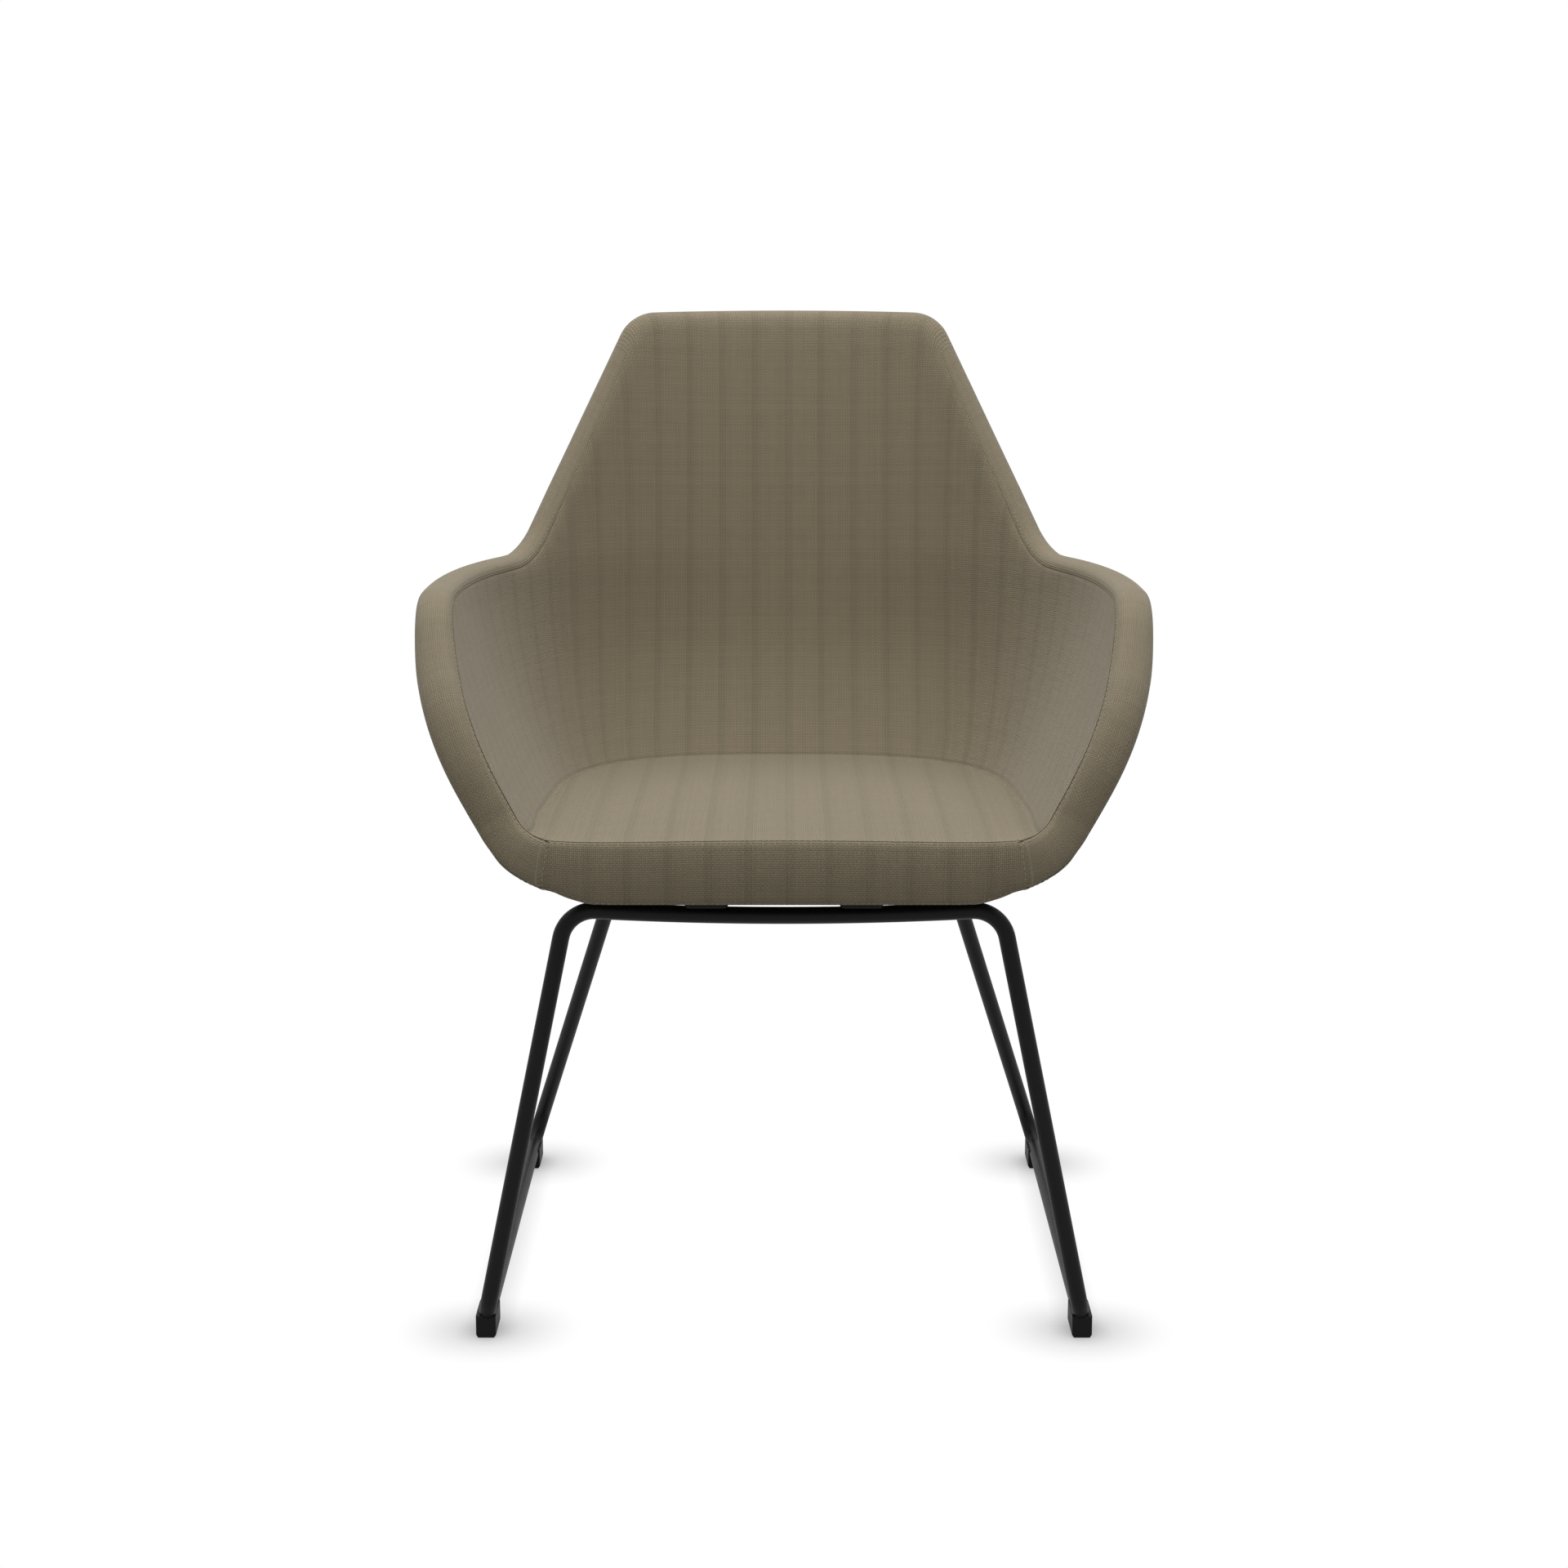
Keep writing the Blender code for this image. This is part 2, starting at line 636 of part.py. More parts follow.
def add_inner_cover(tub, chair, finish):
    """Cover of the arms and back, rolled over the top edge between the two edge bands."""
    rim, wall_rows, top = len(tub.columns), len(WALL_ROWS) - 1, tub.top_corner()
    face = np.hstack([tub.wall_layer(0), tub.bead(0)[:rim, 1:]])
    back = np.hstack([tub.wall_layer(FABRIC), tub.bead(FABRIC)[:rim, 1:]])
    cover = thick_patch(face, back, lambda i, j: j < wall_rows or i < top)
    mirror_halves(make_object("inner_cover", cover, finish, chair))


def add_seat_cover(tub, chair, finish):
    """Cover of the seat cushion."""
    face = inside_seam(tub.seat_layer(0))
    back = inside_seam(tub.seat_layer(FABRIC))
    mirror_halves(make_object("seat_cover", thick_patch(face, back), finish, chair))


def add_edge_bands(tub, chair, finish):
    """Bands over the padded edge, from the seat's front corners up to the top corners of the back."""
    part = slice(tub.top_corner(), tub.last + 2)
    face = trimmed(tub.bead(0)[part], start=True, end=True)
    back = trimmed(tub.bead(FABRIC)[part], start=True, end=True)
    make_object("edge_band_right", thick_patch(face, back), finish, chair)
    left = thick_patch(face, back)
    flip_to_left(left)
    make_object("edge_band_left", left, finish, chair)


def add_front_band(tub, chair, finish):
    """Band across the front edge of the seat."""
    part = slice(tub.last + 1, None)
    face = trimmed(tub.bead(0)[part], start=True)
    back = trimmed(tub.bead(FABRIC)[part], start=True)
    mirror_halves(make_object("front_band", thick_patch(face, back), finish, chair))


def add_outer_cover(tub, chair, finish):
    """Cover of the outside of the tub and its underside."""
    face = np.hstack([tub.wall_from_outside(0)[:, ::-1], tub.seat_from_under(0)[:, -2::-1]])
    back = np.hstack([tub.wall_from_outside(FABRIC)[:, ::-1], tub.seat_from_under(FABRIC)[:, -2::-1]])
    cover = make_object("outer_cover", thick_patch(face, back, runs_down=True), finish, chair)
    mirror_halves(cover)
    return cover


def rod_path(weld_gap):
    """Centre line of the right half of the sled, from the front weld to the rear weld."""
    bow = [FRONT_BAR_BOW * (k / 4) ** 2 for k in range(4)]
    front = [(FRONT_BAR_HALF * k / 4, FRONT_BAR_DEPTH, FRONT_BAR_MIDDLE + bow[k]) for k in range(4)]
    front[0] = (weld_gap / 2, FRONT_BAR_DEPTH, FRONT_BAR_MIDDLE)
    corners = [front[-1],
               (FRONT_BAR_HALF, FRONT_BAR_DEPTH, FRONT_BAR_MIDDLE + FRONT_BAR_BOW),
               (RUNNER_HALF, RUNNER_FRONT, RUNNER_HEIGHT),
               (RUNNER_HALF, RUNNER_REAR, RUNNER_HEIGHT),
               (REAR_BAR_HALF, REAR_BAR_DEPTH, REAR_BAR_HEIGHT),
               (weld_gap / 2, REAR_BAR_DEPTH, REAR_BAR_HEIGHT)]
    loop = rounded(corners, [TOP_BEND, RUNNER_BEND, RUNNER_BEND, TOP_BEND])
    return np.vstack([np.array(front[:-1]), loop])


def add_sled(chair, finish):
    """The two half loops of bent rod, butt-welded at the middle of both cross bars."""
    make_object("sled_frame_right", sweep(rod_path(GAP), ROD_RADIUS), finish, chair)
    left = sweep(rod_path(GAP), ROD_RADIUS)
    flip_to_left(left)
    make_object("sled_frame_left", left, finish, chair)


def add_straps(chair, finish):
    """Flat straps on both cross bars, which carry the tub, with two bolt holes each."""
    start, end = FRONT_BAR_DEPTH - STRAP_OVERHANG, REAR_BAR_DEPTH + STRAP_OVERHANG
    for side, x in (("left", -STRAP_HALF_SPACING), ("right", STRAP_HALF_SPACING)):
        bm = bmesh.new()
        bmesh.ops.create_cube(bm, size=1.0)
        bmesh.ops.scale(bm, verts=bm.verts, vec=(STRAP_WIDTH, end - start, STRAP_THICKNESS))
        corners = [e for e in bm.edges if abs(e.verts[0].co.z - e.verts[1].co.z) > STRAP_THICKNESS / 2]
        bmesh.ops.bevel(bm, geom=corners, offset=STRAP_WIDTH / 6, segments=4, profile=0.5, affect="EDGES")
        bmesh.ops.translate(bm, verts=bm.verts, vec=(x, (start + end) / 2, STRAP_TOP - STRAP_THICKNESS / 2))
        strap = make_object("seat_strap_" + side, bm, finish, chair)
        for k, y in enumerate(BOLT_DEPTHS):
            profile = [(BOLT_RADIUS + GAP, STRAP_TOP + STRAP_THICKNESS),
                       (BOLT_RADIUS + GAP, STRAP_BOTTOM - STRAP_THICKNESS)]
            hole = moved(capped(lathe(profile)), x, y)
            cut(strap, hidden_cutter(f"strap_hole_{side}_{k}", hole, chair))


def bolt_places():
    """(name, x, y) of each fastening."""
    for row, y in zip(("front", "rear"), BOLT_DEPTHS):
        for side, x in (("left", -STRAP_HALF_SPACING), ("right", STRAP_HALF_SPACING)):
            yield f"{row}_{side}", x, y


def bolt_mesh():
    """Button-head bolt with a socket, from its tip in the tee nut down to its head."""
    head_top = STRAP_BOTTOM - GAP - WASHER_THICKNESS - GAP
    head_bottom = head_top - BOLT_HEAD_HEIGHT
    tip = UNDERSIDE + CORE_INSIDE
    angles = [math.radians(a) for a in (0, 30, 60)]
    dome = [(BOLT_HEAD_RADIUS * math.cos(a), head_top - BOLT_HEAD_HEIGHT * math.sin(a)) for a in angles]
    socket = [(BOLT_SOCKET_RADIUS, head_bottom), (BOLT_SOCKET_RADIUS, head_bottom + BOLT_SOCKET_DEPTH)]
    return capped(lathe([(BOLT_RADIUS, tip), (BOLT_RADIUS, head_top)] + dome + socket))


def tee_nut_mesh():
    """Tee nut: a flange on top of the core and a barrel down into its bore."""
    flange_bottom = UNDERSIDE + CORE_INSIDE + GAP
    flange_top = flange_bottom + NUT_FLANGE_THICKNESS
    bore, foot = BOLT_RADIUS + GAP, flange_bottom - NUT_BARREL_LENGTH
    profile = [(bore, flange_top), (NUT_FLANGE_RADIUS, flange_top), (NUT_FLANGE_RADIUS, flange_bottom),
               (NUT_BARREL_RADIUS, flange_bottom), (NUT_BARREL_RADIUS, foot), (bore, foot)]
    return bored(profile)


def add_fasteners(chair, steel, padding):
    """Bolts, washers, spacer sleeves and tee nuts, and the holes that they pass through."""
    core, outer_padding, seat_foam, outer_cover = padding
    washer_top = STRAP_BOTTOM - GAP
    core_underside = UNDERSIDE + CORE_OUTSIDE
    bore = BOLT_RADIUS + GAP
    for place, x, y in bolt_places():
        make_object("bolt_" + place, moved(bolt_mesh(), x, y), steel, chair)
        washer = sleeve(WASHER_RADIUS, bore, washer_top, washer_top - WASHER_THICKNESS)
        make_object("washer_" + place, moved(washer, x, y), steel, chair)
        spacer = sleeve(SPACER_RADIUS, bore, core_underside - GAP, STRAP_TOP + GAP)
        make_object("spacer_" + place, moved(spacer, x, y), steel, chair)
        make_object("tee_nut_" + place, moved(tee_nut_mesh(), x, y), steel, chair)
        tall = 2 * CORE_INSIDE
        shaft = [(SPACER_RADIUS + GAP, core_underside), (SPACER_RADIUS + GAP, UNDERSIDE - tall)]
        shaft = hidden_cutter("spacer_hole_" + place, moved(capped(lathe(shaft)), x, y), chair)
        cut(outer_cover, shaft)
        cut(outer_padding, shaft)
        shaft = [(NUT_BARREL_RADIUS + GAP, UNDERSIDE + tall), (NUT_BARREL_RADIUS + GAP, UNDERSIDE)]
        cut(core, hidden_cutter("nut_hole_" + place, moved(capped(lathe(shaft)), x, y), chair))
        pocket_top = UNDERSIDE + CORE_INSIDE + GAP + NUT_FLANGE_THICKNESS + GAP
        pocket = [(NUT_FLANGE_RADIUS + GAP, pocket_top), (NUT_FLANGE_RADIUS + GAP, UNDERSIDE)]
        cut(seat_foam, hidden_cutter("nut_pocket_" + place, moved(capped(lathe(pocket)), x, y), chair))


def glide_mesh(front, x):
    """A glide before the rod's groove is cut: a bevelled sole and two cheeks beside the rod."""
    top = RUNNER_HEIGHT + GLIDE_GRIP
    half, sole = ROD_RADIUS + GAP + GLIDE_WALL, GLIDE_SOLE_WIDTH / 2
    outline = [(-sole, 0), (sole, 0), (half, GLIDE_BEVEL), (half, top), (-half, top), (-half, GLIDE_BEVEL)]
    bm = bmesh.new()
    face = bm.faces.new([bm.verts.new((x + across, front, z)) for across, z in outline])
    grown = bmesh.ops.extrude_face_region(bm, geom=[face])
    verts = [v for v in grown["geom"] if isinstance(v, bmesh.types.BMVert)]
    bmesh.ops.translate(bm, verts=verts, vec=(0, GLIDE_LENGTH, 0))
    bmesh.ops.recalc_face_normals(bm, faces=bm.faces)
    ends = [e for e in bm.edges if abs(e.verts[0].co.y - e.verts[1].co.y) < GAP]
    bmesh.ops.bevel(bm, geom=ends, offset=GLIDE_BEVEL / 2, segments=2, profile=0.5, affect="EDGES")
    return bm


def add_glides(chair, finish):
    """Four plastic glides that grip the rod under the bends of the runners."""
    front_start = RUNNER_FRONT + GLIDE_SETBACK
    rear_start = RUNNER_REAR - REAR_GLIDE_SETBACK - GLIDE_LENGTH
    for side, sign in (("left", -1), ("right", 1)):
        groove = sweep(rod_path(GAP), ROD_RADIUS + GAP)
        if sign < 0:
            flip_to_left(groove)
        groove = hidden_cutter("rod_groove_" + side, groove, chair)
        for row, start in (("front", front_start), ("rear", rear_start)):
            glide = make_object(f"{row}_glide_{side}", glide_mesh(start, sign * RUNNER_HALF), finish, chair)
            cut(glide, groove)


def depth_middle(tub):
    """Middle of the chair's depth, which the origin stands under."""
    edge = tub.bead(0)
    outside = tub.wall_from_outside(0)
    nearest = edge[..., 1].min()
    farthest = max(edge[..., 1].max(), outside[..., 1].max(), rod_path(GAP)[:, 1].max() + ROD_RADIUS)
    return (nearest + farthest) / 2


def main():
    for obj in list(bpy.data.objects):
        bpy.data.objects.remove(obj, do_unlink=True)
    tub = Tub()
    chair = bpy.data.objects.new("chair", None)
    chair.location = (0, -depth_middle(tub), 0)
    bpy.context.scene.collection.objects.link(chair)

    weave = make_material("striped_weave", (0.162, 0.136, 0.089), 0.9)
    plain = make_material("plain_weave", (0.22, 0.18, 0.12), 0.9)
    foam = make_material("foam", (0.75, 0.68, 0.48), 0.95)
    board = make_material("moulded_shell", (0.42, 0.29, 0.17), 0.6)
    black = make_material("black_powder_coat", (0.012, 0.012, 0.012), 0.42, 0.2)
    zinc = make_material("zinc_plate", (0.55, 0.56, 0.57), 0.35, 1.0)
    plastic = make_material("black_plastic", (0.01, 0.01, 0.01), 0.5)

    core = add_core(tub, chair, board)
    add_liner(tub, chair, foam)
    outer_padding = add_outer_padding(tub, chair, foam)
    seat_foam = add_seat_foam(tub, chair, foam)
    add_front_roll(tub, chair, foam)
    add_inner_cover(tub, chair, weave)
    add_seat_cover(tub, chair, weave)
    add_edge_bands(tub, chair, plain)
    add_front_band(tub, chair, weave)
    outer_cover = add_outer_cover(tub, chair, weave)
    add_sled(chair, black)
    add_straps(chair, black)
    add_fasteners(chair, zinc, (core, outer_padding, seat_foam, outer_cover))
    add_glides(chair, plastic)


main()
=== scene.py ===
"""Looks of an upholstered tub chair on a bent-rod sled base.

The covers grow from the same double-curved tub as the CAD solids, at a finer spacing. Each cover is swollen by a
cloth simulation, sewn in along its seams and closed round its foam. Lengths are in metres, +Z is up and the chair
faces -Y.
"""

import logging
import math
from collections.abc import Callable
from dataclasses import dataclass, field
from enum import Enum
from functools import lru_cache

import bmesh
import bpy
import numpy as np
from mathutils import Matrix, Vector


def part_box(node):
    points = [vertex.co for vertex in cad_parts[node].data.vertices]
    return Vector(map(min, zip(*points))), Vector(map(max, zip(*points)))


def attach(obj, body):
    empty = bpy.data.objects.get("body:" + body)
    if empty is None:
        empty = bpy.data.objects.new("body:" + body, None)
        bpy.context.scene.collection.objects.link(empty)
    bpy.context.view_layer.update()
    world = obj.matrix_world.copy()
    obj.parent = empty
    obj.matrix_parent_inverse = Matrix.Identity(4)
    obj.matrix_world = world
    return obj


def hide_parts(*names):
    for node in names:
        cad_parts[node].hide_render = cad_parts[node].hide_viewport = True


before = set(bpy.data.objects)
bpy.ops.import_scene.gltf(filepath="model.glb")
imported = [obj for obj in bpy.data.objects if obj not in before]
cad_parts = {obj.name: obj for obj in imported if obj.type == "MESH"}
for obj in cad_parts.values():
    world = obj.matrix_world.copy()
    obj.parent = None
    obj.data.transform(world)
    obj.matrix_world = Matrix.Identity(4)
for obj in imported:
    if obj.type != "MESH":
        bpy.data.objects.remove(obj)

LOG = logging.getLogger("tub_chair")
BODY = "root"
UV_NAME = "cloth"
SAME_POINT = 1e-6
SHARP_TURN = math.radians(48)
UP = np.array((0.0, 0.0, 1.0))
MIRROR = np.array((-1.0, 1.0, 1.0))


# Small geometry helpers

def smooth(share: np.ndarray | float) -> np.ndarray | float:
    """Ease from 0 to 1, level at both ends."""
    share = np.clip(share, 0.0, 1.0)
    return share * share * (3 - 2 * share)


def eased(first: float, last: float, share: np.ndarray | float) -> np.ndarray | float:
    """A value eased from the first to the last while a share goes from 0 to 1."""
    return first + (last - first) * smooth(share)


def unit(vectors: np.ndarray) -> np.ndarray:
    """Vectors scaled to length 1 along their last axis."""
    return vectors / np.maximum(np.linalg.norm(vectors, axis=-1, keepdims=True), 1e-12)


def dip(distance: np.ndarray, width: float) -> np.ndarray:
    """A soft dip that is 1 on a line and fades with the distance from it."""
    return np.exp(-(distance / width) ** 2)


def run_along(grid: np.ndarray, axis: int) -> np.ndarray:
    """Length travelled along one axis of a grid of points.

    Args:
        grid: Points, with their coordinates on the last axis.
        axis: The axis to travel along.

    Returns:
        The distances from the first point on that axis.
    """
    steps = np.linalg.norm(np.diff(grid, axis=axis), axis=-1)
    start = np.zeros_like(np.take(steps, [0], axis=axis))
    return np.concatenate([start, np.cumsum(steps, axis=axis)], axis=axis)


def number_at(places: np.ndarray, run: np.ndarray) -> np.ndarray:
    """Fractional numbers of the points at some places along a run."""
    return np.interp(places, run, np.arange(len(run)))


def value_at(place: float, run: np.ndarray, values: np.ndarray) -> list[float]:
    """The point or direction at a place along a run of them."""
    return [np.interp(place, run, values[:, k]) for k in range(values.shape[1])]


def blended(values: np.ndarray, run: np.ndarray, width: float) -> np.ndarray:
    """Points or directions along a run, each averaged with those within a width of it."""
    weight = dip(run[:, None] - run[None, :], width * math.sqrt(2)) * np.gradient(run)[None, :]
    return weight @ values / weight.sum(axis=1, keepdims=True)


def normals_of(grid: np.ndarray) -> np.ndarray:
    """Unit normals of a grid of points, along its columns crossed with its rows."""
    return unit(np.cross(np.gradient(grid, axis=0), np.gradient(grid, axis=1)))


def sampled(grid: np.ndarray, columns: np.ndarray, rows: np.ndarray) -> np.ndarray:
    """Values of a grid at fractional columns and rows.

    Args:
        grid: Values, with columns and rows on the first two axes.
        columns: Fractional column numbers.
        rows: Fractional row numbers.

    Returns:
        A grid of the blended values.
    """
    i = np.clip(np.floor(columns).astype(int), 0, grid.shape[0] - 2)
    j = np.clip(np.floor(rows).astype(int), 0, grid.shape[1] - 2)
    extra = (1,) * (grid.ndim - 2)
    s, t = (columns - i).reshape(-1, 1, *extra), (rows - j).reshape(1, -1, *extra)
    first = grid[np.ix_(i, j)] * (1 - t) + grid[np.ix_(i, j + 1)] * t
    second = grid[np.ix_(i + 1, j)] * (1 - t) + grid[np.ix_(i + 1, j + 1)] * t
    return first * (1 - s) + second * s


def both_sides(half: np.ndarray, mirror: bool = True) -> np.ndarray:
    """A full row of columns from its right half, whose first column is the middle.

    Args:
        half: Values of the right half.
        mirror: Whether the values are points or directions, whose x changes sign.

    Returns:
        The values from the left end through the middle to the right end.
    """
    other = half[:0:-1] * (MIRROR if mirror else 1.0)
    return np.concatenate([other, half])


def rounded(points: list, radii: list[float], turn_step: float = math.radians(2)) -> np.ndarray:
    """A path whose inner corners are arcs.

    Args:
        points: Corners of the path.
        radii: Radius of each inner corner.
        turn_step: Largest turn between two points of an arc.

    Returns:
        The points of the rounded path.
    """
    points = [np.asarray(p, float) for p in points]
    path = [points[0]]
    for before, corner, after, radius in zip(points, points[1:], points[2:], radii):
        back, ahead = unit(before - corner), unit(after - corner)
        half = math.acos(np.clip(back @ ahead, -1, 1)) / 2
        centre = corner + unit(back + ahead) * radius / math.sin(half)
        start = corner + back * radius / math.tan(half) - centre
        end = corner + ahead * radius / math.tan(half) - centre
        sweep = math.pi - 2 * half
        steps = max(2, math.ceil(sweep / turn_step))
        for k in range(steps + 1):
            angle = sweep * k / steps
            path.append(centre + (start * math.sin(sweep - angle) + end * math.sin(angle)) / math.sin(sweep))
    path.append(points[-1])
    return np.array(path)


def spaced(path: np.ndarray, step: float) -> np.ndarray:
    """The path with points added on its long stretches."""
    out = [path[0]]
    for a, b in zip(path, path[1:]):
        pieces = max(1, math.ceil(np.linalg.norm(b - a) / step))
        out += [a + (b - a) * k / pieces for k in range(1, pieces + 1)]
    return np.array(out)


# Objects

def linked(name: str, data: bpy.types.ID) -> bpy.types.Object:
    """A new object with its data, linked to the scene."""
    obj = bpy.data.objects.new(name, data)
    bpy.context.scene.collection.objects.link(obj)
    return obj


def put_on(obj: bpy.types.Object, slot: str, *nodes: str) -> None:
    """Puts a piece on the chair.

    Args:
        obj: The piece.
        slot: Not used.
        nodes: The CAD nodes that it stands for.
    """
    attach(obj, BODY)
    if nodes:
        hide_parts(*nodes)
    LOG.info("%s: %d faces", obj.name, len(obj.data.polygons))


# The tub

@dataclass(frozen=True)
class TubForm:
    """Sizes of the tub, with y = 0 at the front edge of the seat: the CAD solids' and the covers' finer rounding."""

    seat_height: float = 0.440
    seat_depth: float = 0.461
    seat_half_width: float = 0.196
    seat_drop: float = 0.018
    seat_edge_rise: float = 0.010
    front_edge_rise: float = 0.0035
    seat_crown: float = 0.006
    crown_run: float = 0.120
    seat_thickness: float = 0.073
    front_thickness: float = 0.047
    underside_ramp: float = 0.22
    arm_half_width: float = 0.273
    arm_rise: float = 0.168
    arm_top_reach: float = 0.151
    arm_knee_reach: float = 0.050
    arm_knee_rise: float = 0.090
    arm_top_radius: float = 0.100
    arm_knee_radius: float = 0.120
    flare_height: float = 0.227
    front_lip: float = 0.001
    front_flat: float = 0.024
    front_radius: float = 0.026
    corner_bend: float = 0.02875
    corner_radius: float = 0.005
    corner_tilt: float = 0.85
    corner_fullness: float = 0.007
    full_front: float = 0.07
    full_front_run: float = 0.030
    foot_sweep: float = 0.003
    foot_drop: float = 0.002
    foot_height: float = 0.022
    sweep_start: float = 0.020
    sweep_run: float = 0.080
    edge_power: int = 6
    back_softness: float = 0.017
    arm_softness: float = 0.0025
    soft_reach: float = 0.140
    soft_fade: float = 0.130
    back_rise: float = 0.3780
    back_lean: float = 0.130
    back_hollow: float = 0.002
    back_flare: float = 0.034
    back_flare_height: float = 0.110
    top_half_width: float = 0.127
    top_crown: float = 0.002
    top_radius: float = 0.022
    notch_half_width: float = 0.2175
    notch_reach: float = 0.035
    tub_centre: float = 0.200
    squareness_seat: float = 2.9
    squareness_arm: float = 2.3
    wall_at_seat: float = 0.032
    wall_belly: float = 0.034
    wall_upper: float = 0.030
    belly_drop: float = 0.050
    belly_rise: float = 0.090
    edge_bulge: float = 0.012
    front_bulge: float = 0.006
    bulge_run: float = 0.060
    bulge_fullness: float = 0.8
    gap: float = 0.0003
    outer_foam_back: float = 0.0104
    core_face: float = 0.0107
    core_back: float = 0.0197
    liner_back: float = 0.0200
    flat_share: float = 0.64
    thick_share: float = 0.70
    plan_steps: int = 721
    top_straight: float = 0.7
    top_steps: int = 8
    notch_steps: int = 33
    rim_step: float = 0.003

    @property
    def arm_top(self) -> float:
        """Height of the arms' inside edge."""
        return self.seat_height + self.arm_rise

    @property
    def back_top(self) -> float:
        """Height of the back's inside edge."""
        return self.seat_height + self.back_rise

    def half_width(self, z: float) -> float:
        """Half the inside width at a height: flared from the seat, then upright."""
        share = min((z - self.seat_height) / self.flare_height, 1.0)
        return self.arm_half_width - (self.arm_half_width - self.seat_half_width) * (1 - share) ** 2

    def back_depth(self, z: float) -> float:
        """Depth of the back on the centre line: flared from the seat, then leaned, and hollowed a little."""
        share = (z - self.seat_height) / self.back_rise
        low = 1 - min((z - self.seat_height) / self.back_flare_height, 1.0)
        lean = (self.back_lean - self.back_flare) * share + self.back_flare * (1 - low * low)
        return self.seat_depth + lean - 4 * self.back_hollow * share * (1 - share)

    @lru_cache(maxsize=4096)
    def plan_curve(self, z: float) -> tuple[np.ndarray, np.ndarray, np.ndarray]:
        """Half of the round back in plan at a height.

        Args:
            z: The height.

        Returns:
            Widths, depths and the length run along the curve.
        """
        share = np.clip((z - self.seat_height) / self.arm_rise, 0, 1)
        power = 2 / (self.squareness_seat + (self.squareness_arm - self.squareness_seat) * share)
        angle = np.linspace(0, math.pi / 2, self.plan_steps)
        x = self.half_width(z) * np.sin(angle) ** power
        y = self.tub_centre + (self.back_depth(z) - self.tub_centre) * np.abs(np.cos(angle)) ** power
        return x, y, np.concatenate([[0], np.cumsum(np.hypot(np.diff(x), np.diff(y)))])

    def wall_point(self, column: float, z: float) -> np.ndarray:
        """A point of the inside of the wall.

        Args:
            column: From 0 at the middle of the back to 1 where the arm starts and 2 at the front.
            z: Height of the point.

        Returns:
            The point.
        """
        if column < 0:
            return self.wall_point(-column, z) * MIRROR
        if column >= 1:
            return np.array((self.half_width(z), self.tub_centre * (2 - column), z))
        x, y, run = self.plan_curve(z)
        return np.array((np.interp(column * run[-1], run, x), np.interp(column * run[-1], run, y), z))

    def wall_normal(self, column: float, z: float, step: float = 0.002) -> np.ndarray:
        """Unit normal of the wall, pointing out of the tub."""
        along = self.wall_point(column + step, z) - self.wall_point(column - step, z)
        up = self.wall_point(column, z + step) - self.wall_point(column, z - step)
        return unit(np.cross(up, along))

    def wall_run(self, column: float, z: float) -> float:
        """Length along the wall from the middle of the back to a column at a height."""
        return self.plan_curve(z)[2][-1] * min(column, 1.0) + self.tub_centre * max(column - 1.0, 0.0)

    def column_at_width(self, x: float, z: float) -> float:
        """The column that has this half width at this height."""
        widths, _, run = self.plan_curve(z)
        return np.interp(x, widths, run) / run[-1]

    def column_at_depth(self, y: float, z: float) -> float:
        """The column that has this depth at this height."""
        if y <= self.tub_centre:
            return 2 - y / self.tub_centre
        _, depths, run = self.plan_curve(z)
        return np.interp(-y, -depths, run) / run[-1]

    def seam_height(self, y: float) -> float:
        """Height of the seam between seat and wall at a depth."""
        return self.seat_height - self.seat_drop * y / self.seat_depth + self.edge_rise(y)

    def edge_rise(self, y: np.ndarray | float) -> np.ndarray | float:
        """How far the seat rises to its seam at a depth: least at the front edge."""
        return eased(self.front_edge_rise, self.seat_edge_rise, y / self.crown_run)

    def rim_path(self) -> np.ndarray:
        """The rim from the top's middle down the back, along the arm and to the seat's front corner.

        Returns:
            Columns and heights of the rim's points.
        """
        share = np.linspace(0, self.top_straight, self.top_steps)
        top = [(self.top_half_width * k, self.back_top + self.top_crown * (1 - k * k)) for k in share]
        edge = [top[-1], (self.top_half_width, self.back_top), (self.notch_half_width, self.arm_top)]
        edge = spaced(np.vstack([top[:-1], rounded(edge, [self.top_radius])]), self.rim_step)
        back = np.array([(self.column_at_width(x, z), z) for x, z in edge])
        notch = self.wall_point(*back[-1])
        arm = [(notch[1], self.arm_top), (self.arm_top_reach, self.arm_top),
               (self.arm_knee_reach, self.seat_height + self.arm_knee_rise),
               (self.front_flat, self.seam_height(0) + self.front_lip),
               (0, self.seam_height(0) + self.front_lip)]
        arm = rounded(arm, [self.arm_top_radius, self.arm_knee_radius, self.front_radius])
        arm = spaced(arm, self.rim_step)
        front = np.array([(self.column_at_depth(y, z), z) for y, z in arm])
        return self.round_notch(back, front)

    def round_notch(self, back: np.ndarray, front: np.ndarray) -> np.ndarray:
        """Joins the two stretches of the rim with a hollow curve instead of a sharp corner."""
        corner = back[-1]
        foot = self.wall_point(*corner)
        back, front = (path[[np.linalg.norm(self.wall_point(*p) - foot) > self.notch_reach for p in path]]
                       for path in (back, front))
        share = np.linspace(0, 1, self.notch_steps)[1:-1, None]
        curve = (1 - share) ** 2 * back[-1] + 2 * share * (1 - share) * corner + share ** 2 * front[0]
        return np.vstack([back, curve, front])

    @property
    def flare_angle(self) -> float:
        """How far the arms lean out at the seat."""
        return math.atan(2 * (self.arm_half_width - self.seat_half_width) / self.flare_height)

